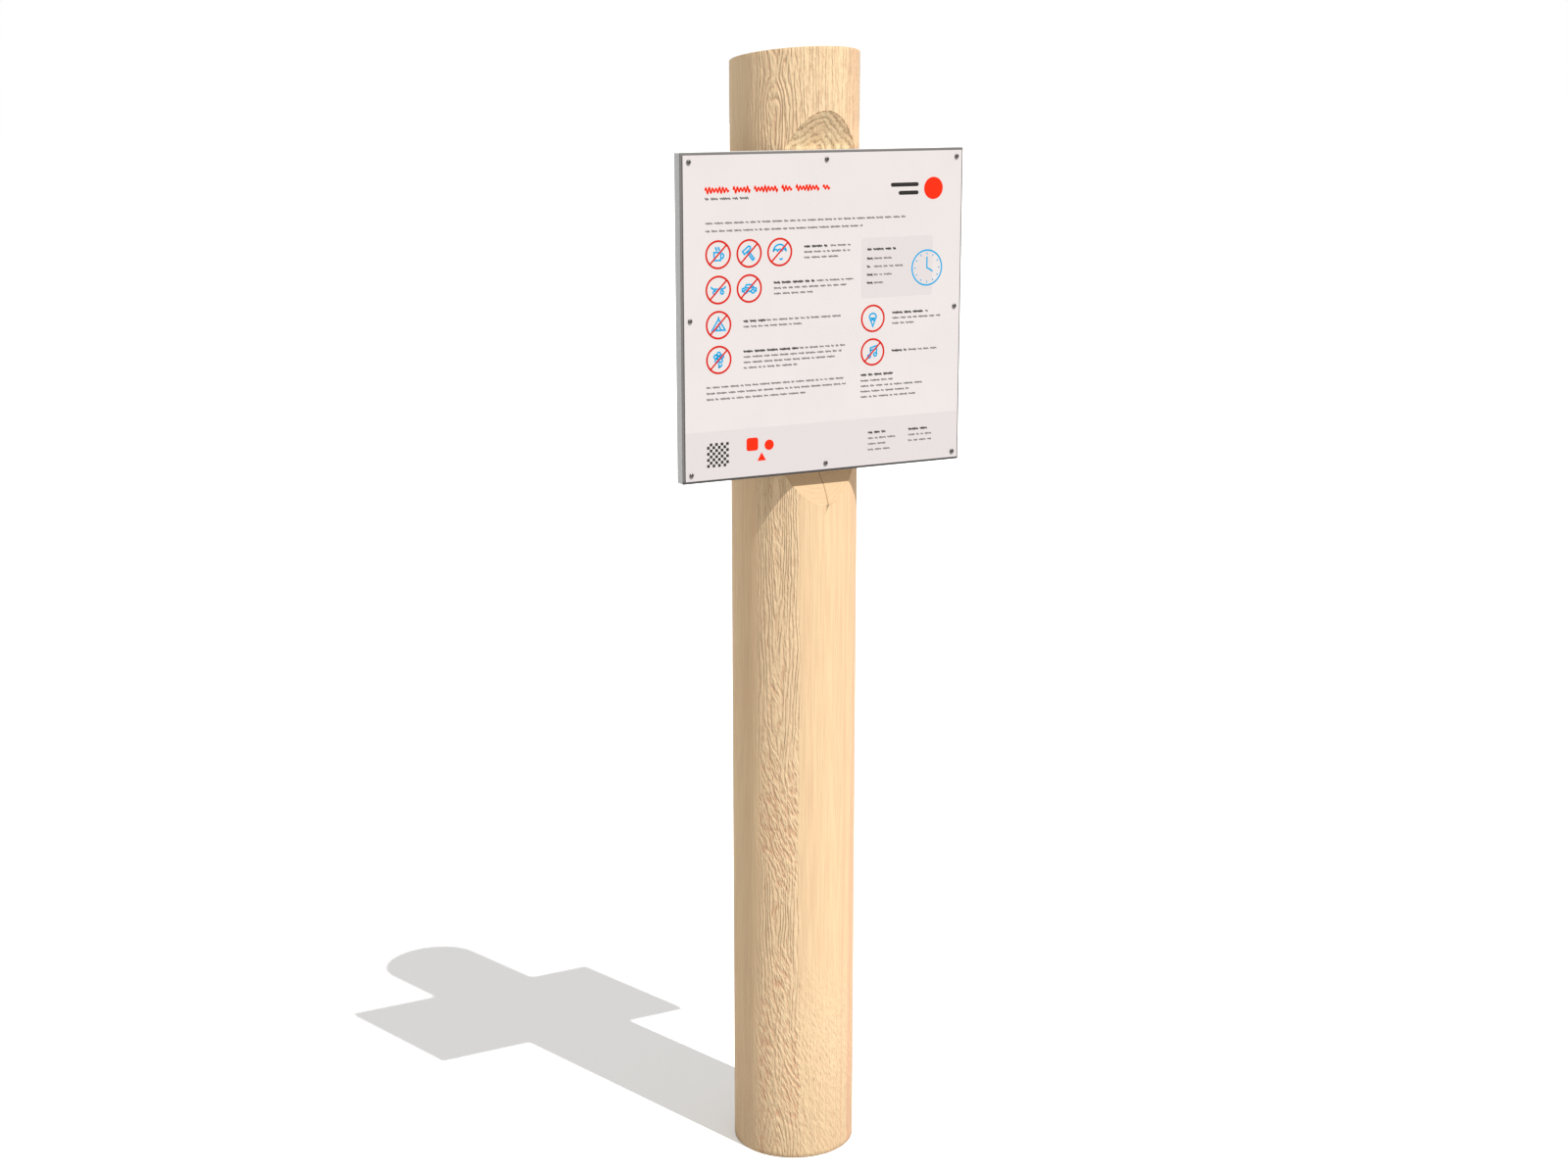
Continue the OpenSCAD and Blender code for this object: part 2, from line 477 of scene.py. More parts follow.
@dataclass(frozen=True)
class SawnTimber:
    """The planed seat and its ramps, where the cut lays the growth rings open."""

    # The upper ramp's pale and warm colours are partly painted light: that cut faces down into shade and is
    # made lighter; dull is the lower ramp's own colour.
    pale: Colour = (1.0, 0.772, 0.468, 1.0)
    warm: Colour = (1.0, 0.712, 0.420, 1.0)
    dull: Colour = (0.740, 0.502, 0.288, 1.0)
    brown: Colour = (0.42, 0.210, 0.095, 1.0)
    # Painted shade inside the drying crack.
    crack: Colour = (0.16, 0.09, 0.05, 1.0)
    ring_dark: float = 0.54
    rim_dark: float = 1.1
    pit_dark: float = 0.35
    relief: float = 2.0 * MM
    gloss: float = 0.25

    def make(self, shop: Workshop) -> Material:
        """Builds the material from the shared groups and the mesh's ring value.

        Args:
            shop: The shared node groups.

        Returns:
            The material.
        """
        coat = Coat("sawn_timber")
        grain = coat.group(shop.grain, Vector=coat.place)
        phase = coat.attribute("ring")
        rings = coat.group(shop.line, Vector=coat.place, Phase=phase, Wander=0.9, Width=0.34)
        ring = coat.times(rings["Line"], coat.between(grain["Fleck"], 0.2, 1.0))
        saw = coat.noise(coat.place, 420.0, 2.0, (0.06, 1.0, 1.0))
        upper = coat.attribute("upper")
        strength = coat.between(upper, 0.15, 1.0)
        # Upper ramp made lighter as painted light; the lower ramp keeps its own dull colour.
        colour = coat.mix(upper, self.dull, coat.mix(grain["Tone"], self.pale, self.warm))
        darker = coat.times(coat.times(saw, 0.5, grain["Fibre"]), 0.05)
        chipped = coat.times(coat.attribute("rim"), coat.between(grain["Shred"], 1.0, 0.0))
        dark = coat.larger(coat.times(ring, self.ring_dark), coat.times(chipped, self.rim_dark))
        dark = coat.larger(dark, coat.times(grain["Pit"], self.pit_dark))
        colour = coat.mix(coat.times(dark, strength), coat.shade(colour, coat.rest(darker)), self.brown)
        # Painted shade inside the crack.
        colour = coat.mix(coat.attribute("crack"), colour, self.crack)
        torn = coat.times(grain["Shred"], 0.3, coat.times(ring, -0.9))
        height = coat.times(saw, 0.06, coat.times(torn, strength))
        return coat.finish(colour, coat.between(saw, 0.6, 0.78), height, self.relief, self.gloss)


@dataclass(frozen=True)
class EndTimber:
    """End grain at the post's top and foot: rings, fine rays and open pores."""

    pale: Colour = (0.86, 0.655, 0.40, 1.0)
    late: Colour = (0.50, 0.315, 0.170, 1.0)
    heart: Colour = (0.74, 0.50, 0.27, 1.0)
    heart_edge: tuple[float, float] = (62 * MM, 48 * MM)
    ray_count: float = 46.0
    relief: float = 0.15 * MM
    gloss: float = 0.2

    def make(self, shop: Workshop) -> Material:
        """Builds the material from the shared groups and the mesh's ring value.

        Args:
            shop: The shared node groups.

        Returns:
            The material.
        """
        coat = Coat("end_timber")
        axis = coat.parts(coat.place)
        level = coat.join(X=axis["X"], Y=axis["Y"])
        phase = coat.attribute("ring")
        ring = coat.group(shop.line, Vector=level, Phase=phase, Wander=0.22, Width=0.3)["Line"]
        bearing = coat.maths("ARCTAN2", axis["Y"], axis["X"])
        radius = coat.node("VectorMath", {0: level}, operation="LENGTH").outputs["Value"]
        polar = coat.join(X=bearing, Y=coat.times(radius, 14.0))
        ray = coat.mask(coat.noise(polar, self.ray_count, 2.0), 0.52, 0.70)
        pore = coat.mask(coat.noise(level, 950.0, 1.0), 0.58, 0.70)
        heartwood = coat.mask(radius, *self.heart_edge)
        colour = coat.mix(coat.times(heartwood, 0.7), self.pale, self.heart)
        colour = coat.mix(coat.times(ring, 0.55), colour, self.late)
        colour = coat.mix(coat.times(pore, 0.25), colour, self.late)
        colour = coat.shade(colour, coat.between(ray, 1.0, 0.9))
        height = coat.times(pore, -0.6, coat.times(ring, 0.5))
        return coat.finish(colour, coat.between(pore, 0.7, 0.85), height, self.relief, self.gloss)


@dataclass(frozen=True)
class BoardPlastic:
    """The carrier board: a pale core between two thin darker films, with milled edges and painted shade along
    its foot.
    """

    core: Colour = screen_colour(219, 219, 217)
    film: Colour = screen_colour(122, 118, 116)
    film_edge: float = 1.15 * MM
    film_blur: float = 0.05 * MM
    # Painted shade: the film darkens in a band along the board's foot, below the plate's lower edge, where
    # the plate casts its shadow.
    shade_band_over_foot: tuple[float, float] = (6 * MM, 3.5 * MM)
    painted_shade: float = 0.38
    relief: float = 0.04 * MM

    def make(self, shop: Workshop) -> Material:
        """Builds the material, with a film on each of the board's two faces.

        Args:
            shop: The shared node groups.

        Returns:
            The material.
        """
        low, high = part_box("board")
        coat = Coat("board_plastic")
        mottle = coat.group(shop.mottle, Vector=coat.place, Scale=520.0)
        milled = coat.group(shop.scratch, Vector=coat.place, Stretch=(1.0, 0.04, 1.0))["Scratch"]
        axis = coat.parts(coat.place)
        from_middle = coat.maths("SUBTRACT", axis["Y"], (low.y + high.y) / 2)
        edge = (high.y - low.y) / 2 - self.film_edge
        distance = coat.maths("ABSOLUTE", from_middle)
        faced = coat.mask(distance, edge - self.film_blur, edge + self.film_blur)
        core = coat.shade(self.core, coat.between(milled, 1.0, 0.93))
        film = coat.shade(self.film, coat.between(mottle["Cloud"], 1.0, 0.94))
        # Painted shade under the plate's lower edge: the film darkens towards the board's foot.
        under_plate_shade = coat.mask(axis["Z"], *(low.z + height for height in self.shade_band_over_foot))
        film = coat.shade(film, coat.between(under_plate_shade, 1.0, self.painted_shade))
        colour = coat.shade(coat.mix(faced, core, film), coat.between(mottle["Speck"], 1.0, 0.93))
        height = coat.blend(faced, milled, mottle["Pebble"])
        return coat.finish(colour, coat.between(mottle["Pebble"], 0.42, 0.58), height, self.relief)


@dataclass(frozen=True)
class WhiteSkin:
    """The plate's satin white outer skins."""

    white: Colour = screen_colour(230, 222, 219)
    dull: Colour = screen_colour(224, 216, 213)
    relief: float = 0.008 * MM
    gloss: float = 0.35

    def make(self, shop: Workshop) -> Material:
        """Builds the material from the shared groups.

        Args:
            shop: The shared node groups.

        Returns:
            The material.
        """
        coat = Coat("white_skin")
        mottle = coat.group(shop.mottle, Vector=coat.place, Scale=900.0)
        colour = coat.mix(coat.times(mottle["Cloud"], 0.35), self.white, self.dull)
        colour = coat.shade(colour, coat.between(mottle["Speck"], 1.0, 0.985))
        satin = coat.between(mottle["Cloud"], 0.36, 0.46)
        return coat.finish(colour, satin, mottle["Pebble"], self.relief, self.gloss)


@dataclass(frozen=True)
class DarkCore:
    """The plate's dark core, which shows only at its sawn edges."""

    dark: Colour = screen_colour(46, 44, 44)
    grey: Colour = screen_colour(78, 75, 74)
    relief: float = 0.03 * MM

    def make(self, shop: Workshop) -> Material:
        """Builds the material from the shared groups.

        Args:
            shop: The shared node groups.

        Returns:
            The material.
        """
        coat = Coat("dark_core")
        sawn = coat.group(shop.scratch, Vector=coat.place, Stretch=(1.0, 0.05, 1.0))
        colour = coat.mix(sawn["Scratch"], self.dark, self.grey)
        return coat.finish(colour, coat.between(sawn["Patch"], 0.55, 0.75), sawn["Scratch"], self.relief)


@dataclass(frozen=True)
class Metal:
    """A bare or coated metal with fine scratches and cloudy patches."""

    name: str
    bright: Colour
    dull: Colour
    smooth: float = 0.3
    matt: float = 0.5
    stretch: Triple = (1.0, 1.0, 0.05)
    relief: float = 0.01 * MM

    def make(self, shop: Workshop) -> Material:
        """Builds the material from the shared groups.

        Args:
            shop: The shared node groups.

        Returns:
            The material.
        """
        coat = Coat(self.name)
        worn = coat.group(shop.scratch, Vector=coat.place, Stretch=self.stretch)
        colour = coat.mix(worn["Patch"], self.bright, self.dull)
        brushed = coat.between(worn["Scratch"], self.smooth, self.matt)
        return coat.finish(colour, brushed, worn["Scratch"], self.relief, metallic=1.0)


@dataclass(frozen=True)
class InkFinish:
    """A printed ink with a slightly uneven laydown."""

    name: str
    colour: Colour
    relief: float = 0.006 * MM
    gloss: float = 0.18

    def make(self, shop: Workshop) -> Material:
        """Builds the material from the shared groups.

        Args:
            shop: The shared node groups.

        Returns:
            The material.
        """
        coat = Coat(self.name)
        pebble = coat.group(shop.mottle, Vector=coat.place, Scale=1400.0)["Pebble"]
        colour = coat.shade(self.colour, coat.between(pebble, 1.04, 0.95))
        return coat.finish(colour, coat.between(pebble, 0.40, 0.54), pebble, self.relief, self.gloss)


def link_mesh(
    name: str,
    points: Array,
    faces: list[Array],
    materials: list[Material],
) -> Piece:
    """Makes a mesh object at the origin.

    Args:
        name: The object's name.
        points: Points in metres, one row each.
        faces: Arrays of faces, each array with one row of point numbers per face.
        materials: The object's materials in slot order.

    Returns:
        The object, linked into the scene.
    """
    mesh = bpy.data.meshes.new(name)
    mesh.from_pydata(points.tolist(), [], [row for block in faces for row in block.tolist()])
    for material in materials:
        mesh.materials.append(material)
    mesh.update(calc_edges=True)
    piece = bpy.data.objects.new(name, mesh)
    bpy.context.scene.collection.objects.link(piece)
    return piece


def hand_over(piece: Piece, replaced: tuple[str, ...] = ()) -> None:
    """Ties a new piece to the model's only body.

    Args:
        piece: The piece.
        replaced: The CAD nodes that it stands for.
    """
    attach(piece, "root")
    if replaced:
        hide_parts(*replaced)
    piece.data.calc_loop_triangles()
    log.info("%s: %d triangles", piece.name, len(piece.data.loop_triangles))


def dress(node: str, material: Material) -> None:
    """Gives a CAD node that stays a new material, and reports it.

    Args:
        node: The CAD node's name.
        material: Its material.
    """
    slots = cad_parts[node].data.materials
    slots.clear()
    slots.append(material)
    log.info("%s: CAD shape in %s", node, material.name)


@dataclass
class Post:
    """The turned timber post, with its slanted top, the seat cut for the board and its ramps.

    Angles are measured from the front, -Y, towards +X. The whole skin is one grid of rows and
    columns: from the end of the anchor bore down its wall, out over the foot, up the outside, over
    the rim and in to the middle of the top.
    """

    radius: float = 100 * MM
    height: float = 1800 * MM
    top_fall: float = 30 * MM
    seat_depth: float = 20 * MM
    seat_low: float = 1153 * MM
    seat_high: float = 1653 * MM
    ramp_up: float = 53 * MM
    ramp_down: float = 48 * MM
    rim: float = 0.6 * MM
    foot_ease: float = 1.0 * MM
    bore_radius: float = 17.1 * MM
    bore_depth: float = 201 * MM
    shaft_rows: int = 156
    seat_rows: int = 26
    head_rows: int = 17
    cap_rows: int = 15
    foot_rows: int = 6
    cut_columns: int = 40
    cut_ease: float = 3.5 * MM
    ridge_spacing: float = 5.8 * MM
    strip_middle: float = math.radians(-45.7)
    loop_levels: tuple[float, ...] = (0.0, 0.10, 0.52, 0.66, 1.12, 1.45, 1.71, 1.755, 1.80)
    loop_counts: tuple[float, ...] = (-1.5, 2.4, -3.2, 2.6, -3.6, 2.0, -1.2, 1.8, 0.2)
    ring_spacing: float = 3.4 * MM
    crack_depth: float = 2.6 * MM
    crack_columns: int = 14
    crack_squeeze: float = 0.5
    squeeze_fall: float = 0.25
    check_spans: tuple[Triple, ...] = ((0.9, 10, 86), (-1.25, 6, 60), (2.5, 14, 94), (-2.6, 20, 70))
    check_width: float = 1.7 * MM
    check_depth: float = 2.2 * MM
    seed: int = 11

    def noise(self, number: int, cells: int, cell_height: float, *place: Array) -> Array:
        """Reads one of the post's noises at angles and heights."""
        return WrappedNoise(self.seed + number, cells, cell_height)(*place)

    def seat_angle(self) -> float:
        """Angle from the front to the edge of the flat seat."""
        return math.acos((self.radius - self.seat_depth) / self.radius)

    def columns(self) -> Array:
        """Angles of the columns: a column for each row of a ramp, and close ones where light grazes.

        Returns:
            Angles in radians once round, each column once.
        """
        edge = math.degrees(self.seat_angle())
        ends = (-180.0, -130.0, -75.0, -edge, edge, 75.0, 180.0)
        counts = (28, 41, 45, 2 * self.cut_columns, 37, 60)
        spans = zip(ends, ends[1:], counts)
        return np.radians(np.concatenate([np.linspace(*span, endpoint=False) for span in spans]))

    def depth_share(self, angle: Array) -> Array:
        """Depth R - R cos(angle) of the cut where its rim passes each angle, as a share of the seat's."""
        return self.radius * (1 - np.cos(angle)) / self.seat_depth

    def levels(self) -> Array:
        """Heights of the rows up the outside, from above the foot's ease to the upper ramp's tip.

        On the ramps, the cut's rim crosses one column per row, so that it is a clean line.

        Returns:
            Heights in metres, rising.
        """
        left = 1 - self.depth_share(np.linspace(0.0, self.seat_angle(), self.cut_columns + 1))
        foot_of_ramp = self.seat_low - self.ramp_down
        shaft = np.linspace(self.foot_ease, foot_of_ramp, self.shaft_rows, endpoint=False)
        lower = self.seat_low - self.ramp_down * left
        seat = np.linspace(self.seat_low, self.seat_high, self.seat_rows)[1:-1]
        upper = self.seat_high + self.ramp_up * left
        return np.concatenate([shaft, lower, seat, upper[::-1]])

    def cut_distance(self, level: Array) -> Array:
        """Distance of the cut's plane from the axis at each height, or the radius where there is none."""
        away = np.maximum((self.seat_low - level) / self.ramp_down, (level - self.seat_high) / self.ramp_up)
        return self.radius - self.seat_depth * (1 - np.clip(away, 0.0, 1.0))

    def top_level(self, angle: Array, reach: Array) -> Array:
        """Height of the slanted top at an angle and a distance from the axis."""
        slope = self.top_fall / (2 * self.radius)
        return self.height - slope * (self.radius - reach * np.cos(angle))

    def crack_path(self, level: Array) -> tuple[Array, Array]:
        """Course of the drying crack that runs down from behind the panel.

        Args:
            level: Heights in metres.

        Returns:
            The crack's place along X at each height, and how open it is from 0 to 1.
        """
        heights = np.array([1086, 1096, 1112, 1124, 1134, 1149, 1200]) * MM
        places = np.array([8.0, 6.6, 6.2, 5.8, 4.9, 1.0, -2.0]) * MM
        open_share = smooth_step(level, 1.086, 1.106) * smooth_step(level, 1.20, 1.17)
        return np.interp(level, heights, places), open_share

    def roughness(self, angle: Array, level: Array) -> Array:
        """How torn the turned face is, from 0 to 1.

        A rough strip runs up the left of the front with a sharp right edge. Near the foot, above
        the panel and along the upper ramp's rim the whole face is rough, and the far left flank is
        calm.

        Args:
            angle: Angles from the front.
            level: Heights.

        Returns:
            Values of the angles' and heights' common shape.
        """
        drift = 2.4 * self.noise(1, 40, 60 * MM, angle, level)
        drift = drift + 1.3 * self.noise(17, 120, 20 * MM, angle, level)
        turn = np.degrees(angle) + drift
        strip = smooth_step(turn, -68.0, -60.0) * smooth_step(turn, -22.6, -26.4)
        foot = 0.62 * smooth_step(level, 0.42, 0.16)
        head = 0.85 * smooth_step(level, 1.66, 1.70) * smooth_step(turn, -78.0, -62.0)
        front = smooth_step(np.abs(turn), 100.0, 60.0)
        behind = 0.3 + 0.4 * smooth_step(self.noise(2, 7, 0.5, angle, level), 0.0, 0.5)
        behind = behind * smooth_step(np.abs(turn), 95.0, 125.0)
        rise = self.seat_high + self.ramp_up * (1 - self.depth_share(angle))
        lip = smooth_step(np.abs(level - rise - 3 * MM), 7 * MM, 2 * MM) * (np.abs(angle) < self.seat_angle())
        return np.clip(np.maximum.reduce([strip, foot * front, head * front, behind, lip]) + 0.08, 0.0, 1.0)

    def torn(self, angle: Array, level: Array) -> Array:
        """How far short torn flecks take the ridges' place, from 0 to 1, mostly where the V shapes turn.

        Args:
            angle: Angles from the front.
            level: Heights.

        Returns:
            Values of their common shape.
        """
        patch = 0.42 * self.noise(16, 46, 50 * MM, angle, level)
        band = 0.9 * np.exp(-(((level - 0.59) / 0.085) ** 2))
        foot = 0.38 * smooth_step(level, 0.44, 0.30)
        near = smooth_step(self.away(angle), 48 * MM, 30 * MM)
        return np.clip(0.24 + near * (patch + band) + foot, 0.0, 1.0)

    def blush(self, angle: Array, level: Array) -> Array:
        """How rosy the turned face is, from 0 to 1: mostly at the right, in upright streaks.

        Args:
            angle: Angles from the front.
            level: Heights.

        Returns:
            Values of their common shape.
        """
        turn = np.degrees(angle) + 3.0 * self.noise(14, 24, 300 * MM, angle, level)
        streak = self.noise(15, 260, 420 * MM, angle, level)
        right = smooth_step(turn, 14.0, 40.0) * smooth_step(turn, 110.0, 60.0)
        return np.clip(right * (0.15 + 1.3 * streak) + 0.2 * np.clip(streak, 0.0, 1.0), 0.0, 1.0)

    def around(self, angle: Array) -> Array:
        """Distance round the face from the rough strip's middle, less than 0 to its left."""
        return self.radius * ((angle - self.strip_middle + math.pi) % (2 * math.pi) - math.pi)

    def away(self, angle: Array) -> Array:
        """Distance round the face from the rough strip's middle, rounded off at the far side."""
        turn = np.abs(self.around(angle)) / self.radius
        return self.radius * (math.pi - np.hypot(math.pi - turn, 0.05))

    def ridge_phase(self, angle: Array, level: Array) -> Array:
        """Counts the ridges outwards from the middle of the rough strip.

        The count is the distance round the face over the ridges' spacing. Near the strip's middle
        it falls slowly with height over long stretches, which makes nested V shapes that point
        down, and comes back up in short torn ones. Three sizes of upright noise make the ridges
        wave, split and close.

        Args:
            angle: Angles from the front.
            level: Heights.

        Returns:
            Counts, with a ridge's crest at each whole number.
        """
        away = np.hypot(self.away(angle), 5 * MM)
        loops = np.interp(level, self.loop_levels, self.loop_counts) * np.exp(-((away / (23 * MM)) ** 2))
        push = 0.8 * self.noise(3, 30, 190 * MM, angle, level)
        push = push + 0.5 * self.noise(4, 76, 70 * MM, angle, level)
        push = push + 0.45 * self.noise(5, 150, 24 * MM, angle, level)
        return away / self.ridge_spacing + loops + push

    def relief(self, angle: Array, level: Array) -> Array:
        """Height of the turned face above the plain cylinder, in metres.

        Grooves follow the ridge count, small noise makes the crests uneven, and slow noise keeps
        the whole post from being a perfect cylinder.

        Args:
            angle: Angles from the front.
            level: Heights.

        Returns:
            Heights in metres.
        """
        phase = self.ridge_phase(angle, level) % 1.0 - 0.5
        groove = np.exp(-((phase / 0.18) ** 2))
        depth = 0.6 + 0.4 * self.noise(6, 60, 60 * MM, angle, level)
        fine = self.noise(7, 210, 11 * MM, angle, level)
        slow = self.noise(8, 12, 300 * MM, angle, level)
        rough = self.roughness(angle, level)
        return (rough * (-0.30 * groove * depth + 0.16 * fine) + 0.10 * slow) * MM

    def ring_count(self, angle: Array, reach: Array, level: Array) -> Array:
        """Counts growth rings from a pith that lies beside the axis, with uneven ring widths.

        On the upper ramp they bend sharply at the front, so that the cut shows pointed arches: there
        the count takes the depth along Y, and falls off straight to both sides.

        Args:
            angle: Angles from the front.
            reach: Distances from the axis.
            level: Heights.

        Returns:
            Counts of rings.
        """
        along = 2.5 * reach + 0.3 * level
        warp = 2.4 * MM * self.noise(9, 9, 90 * MM, angle, along)
        warp = warp + 1.2 * MM * self.noise(10, 56, 10 * MM, angle, along)
        offset = 4 * MM * np.cos(angle - 1.1)
        round_rings = reach + (offset + warp) * np.clip(reach / (0.3 * self.radius), 0, 1)
        bend = np.where(np.sin(angle) < 0, 15 * MM, 30 * MM) * np.abs(np.sin(angle))
        pointed = (reach * np.cos(angle) + bend + warp) / 1.3
        on_ramp = smooth_step(level, 1.56, 1.63) * smooth_step(level, 1.76, 1.73)
        return (round_rings + (pointed - round_rings) * on_ramp) / self.ring_spacing

    def rim_gap(self, turn: Array, level: Array) -> Array:
        """Angle from the cut's edge in each point's row, less than 0 on the cut."""
        return np.abs(turn) - np.arccos(np.clip(self.cut_distance(level) / self.radius, -1.0, 1.0))

    def edge_distance(self, turn: Array, level: Array, gap: Array) -> Array:
        """Distance of each point from the cut's edge: the smaller of the ways round and up or down.

        Args:
            turn: Angles from the front.
            level: Heights.
            gap: Angle from the edge in the point's own row.

        Returns:
            Distances in metres, long where the row and the column both miss the cut.
        """
        left = 1 - self.depth_share(turn)
        low, high = self.seat_low - self.ramp_down * left, self.seat_high + self.ramp_up * left
        upright = np.minimum(np.abs(level - low), np.abs(level - high))
        upright = np.where(np.abs(turn) < self.seat_angle() + 1e-6, upright, 1.0)
        around = np.where(self.cut_distance(level) < self.radius - 1e-9, np.abs(gap) * self.radius, 1.0)
        return np.minimum(upright, around)

    def outside(self, angle: Array) -> tuple[object, ...]:
        """Works out the rows between the foot's ease and the upper ramp's tip.

        Columns near the front move over to where the crack runs, the further off the less, and
        close up to it by half a column at most, falling to none within a few columns. The crack
        itself is one column, pushed in.

        Args:
            angle: The columns' angles.

        Returns:
            Arrays of rows by columns as grid lists them.
        """
        level = self.levels()[:, None] * np.ones_like(angle)[None, :]
        cut = self.cut_distance(level)
        gap = self.rim_gap(angle, level)
        side = np.where(np.abs(gap) < 1e-6, 0, np.where(gap < 0, 1, -1))
        side = np.where(level < self.seat_low - self.ramp_down - 1e-6, -1, side)
        place, open_share = self.crack_path(level)
        pitch = self.seat_angle() / self.cut_columns
        steps = np.round(angle / pitch)
        pull = np.clip(1 - np.abs(steps) / self.crack_columns, 0.0, 1.0)
        share = np.clip(1 + self.squeeze_fall - self.squeeze_fall * np.abs(steps), 0.0, 1.0)
        squeeze = np.sign(steps) * self.crack_squeeze * share * pitch
        turn = angle + open_share * (pull * np.arctan2(place, cut) - squeeze)
        fade = smooth_step(self.edge_distance(turn, level, gap), 0.0, self.cut_ease)
        tool = 0.05 * MM * self.noise(12, 90, 9 * MM, turn, level)
        crack = open_share * np.clip(1 - np.abs(steps), 0.0, 1.0)
        groove = self.crack_depth * crack
        flat = (cut + fade * tool) / np.cos(turn) - groove
        turned = self.radius + fade * self.relief(turn, level) - groove
        edge = np.where(open_share > 0, cut / np.cos(turn), self.radius)
        reach = np.where(side > 0, flat, np.where(side == 0, edge, turned))
        return turn, reach, level, side, 1, crack

    def grid(self) -> dict[str, Array]:
        """Works out every row of the skin.

        Returns:
            Arrays of rows by columns: turn, reach and level; side, which is 1 on the cut, 0 on its
            edge and -1 elsewhere; part, which is 0 on the foot and in the bore, 1 outside and 2 on
            the top; and crack, which is 1 in a crack.
        """
        angle = self.columns()
        ones = np.ones((1, angle.size))
        spread = np.linspace(self.bore_radius + 8 * MM, self.radius - self.foot_ease, self.foot_rows)
        foot_reach = [self.bore_radius] * 4 + [self.bore_radius + 0.6 * MM, *spread]
        foot_level = [self.bore_depth, 0.13, 0.06, 0.6 * MM, 0.0] + [0.0] * spread.size
        tip = self.seat_high + self.ramp_up
        edge_level = self.top_level(angle, self.radius) - self.rim
        head_level = tip + np.linspace(0.0, 1.0, self.head_rows)[1:, None] * (edge_level - tip)
        head_reach = self.radius + self.relief(angle * ones, head_level)
        bend = np.radians([22.5, 45.0, 67.5, 90.0])[:, None]
        rim_reach = head_reach[-1:] - self.rim * (1 - np.cos(bend))
        rim_level = self.top_level(angle, rim_reach) - self.rim * (1 - np.sin(bend))
        cap_reach = np.linspace(self.radius - self.rim, 0.0, self.cap_rows)[1:-1, None] * ones
        opened = self.checks(angle, cap_reach)
        cap_level = self.top_level(angle, cap_reach) - self.check_depth * opened
        blocks = [
            (angle, np.array(foot_reach)[:, None], np.array(foot_level)[:, None], -1, 0, 0.0),
            self.outside(angle),
            (angle, head_reach, head_level, -1, 1, 0.0),
            (angle, rim_reach, rim_level, -1, 2, 0.0),
            (angle, cap_reach, cap_level, -1, 2, opened),
        ]
        names = ("turn", "reach", "level", "side", "part", "crack")
        stacks = zip(*(np.broadcast_arrays(*block) for block in blocks))
        return {name: np.concatenate(stack) for name, stack in zip(names, stacks)}

    def checks(self, angle: Array, reach: Array) -> Array:
        """How open the top is at each point, from 0 to 1, by radial drying checks.

        Args:
            angle: The columns' angles.
            reach: Distances from the axis, rows by columns.

        Returns:
            Rows by columns. Each check has a bearing in radians and runs between two distances in
            millimetres, closing towards both.
        """
        opened = np.zeros_like(reach)
        for bearing, inner, outer in self.check_spans:
            off = np.abs(np.sin((angle - bearing) / 2)) * 2 * reach
            along = smooth_step(reach, (inner - 4) * MM, (inner + 6) * MM)
            along = along * smooth_step(reach, outer * MM, (outer - 25) * MM)
            opened = np.maximum(opened, along * np.clip(1 - off / self.check_width, 0.0, 1.0))
        return opened

    def faces(self, side: Array) -> list[Array]:
        """Joins the grid's points to faces.

        A square that the cut's rim crosses from corner to corner is split along the rim.

        Args:
            side: Where each point lies, as grid gives it.

        Returns:
            Blocks of faces: squares, halves of squares, and the fans round the two poles.
        """
        rows, columns = side.shape
        ring = np.arange(columns)
        ahead = (ring + 1) % columns
        i, j = (part.ravel() for part in np.meshgrid(np.arange(rows - 1), ring, indexing="ij"))
        corner_rows = np.stack([i, i, i + 1, i + 1], 1)
        corner_columns = np.stack([j, ahead[j], ahead[j], j], 1)
        quads = corner_rows * columns + corner_columns
        sides = side[corner_rows, corner_columns]
        split = (sides.min(1) < 0) & (sides.max(1) > 0)
        rising = split & (sides[:, 0] == 0) & (sides[:, 2] == 0)
        halves = [quads[rising][:, half] for half in ((0, 1, 2), (0, 2, 3))]
        halves += [quads[split & ~rising][:, half] for half in ((0, 1, 3), (1, 2, 3))]
        last, pole = (rows - 1) * columns, rows * columns
        bottom = np.stack([np.full(columns, pole), ahead, ring], 1)
        top = np.stack([last + ring, last + ahead, np.full(columns, pole + 1)], 1)
        return [quads[~split], *halves, bottom, top]

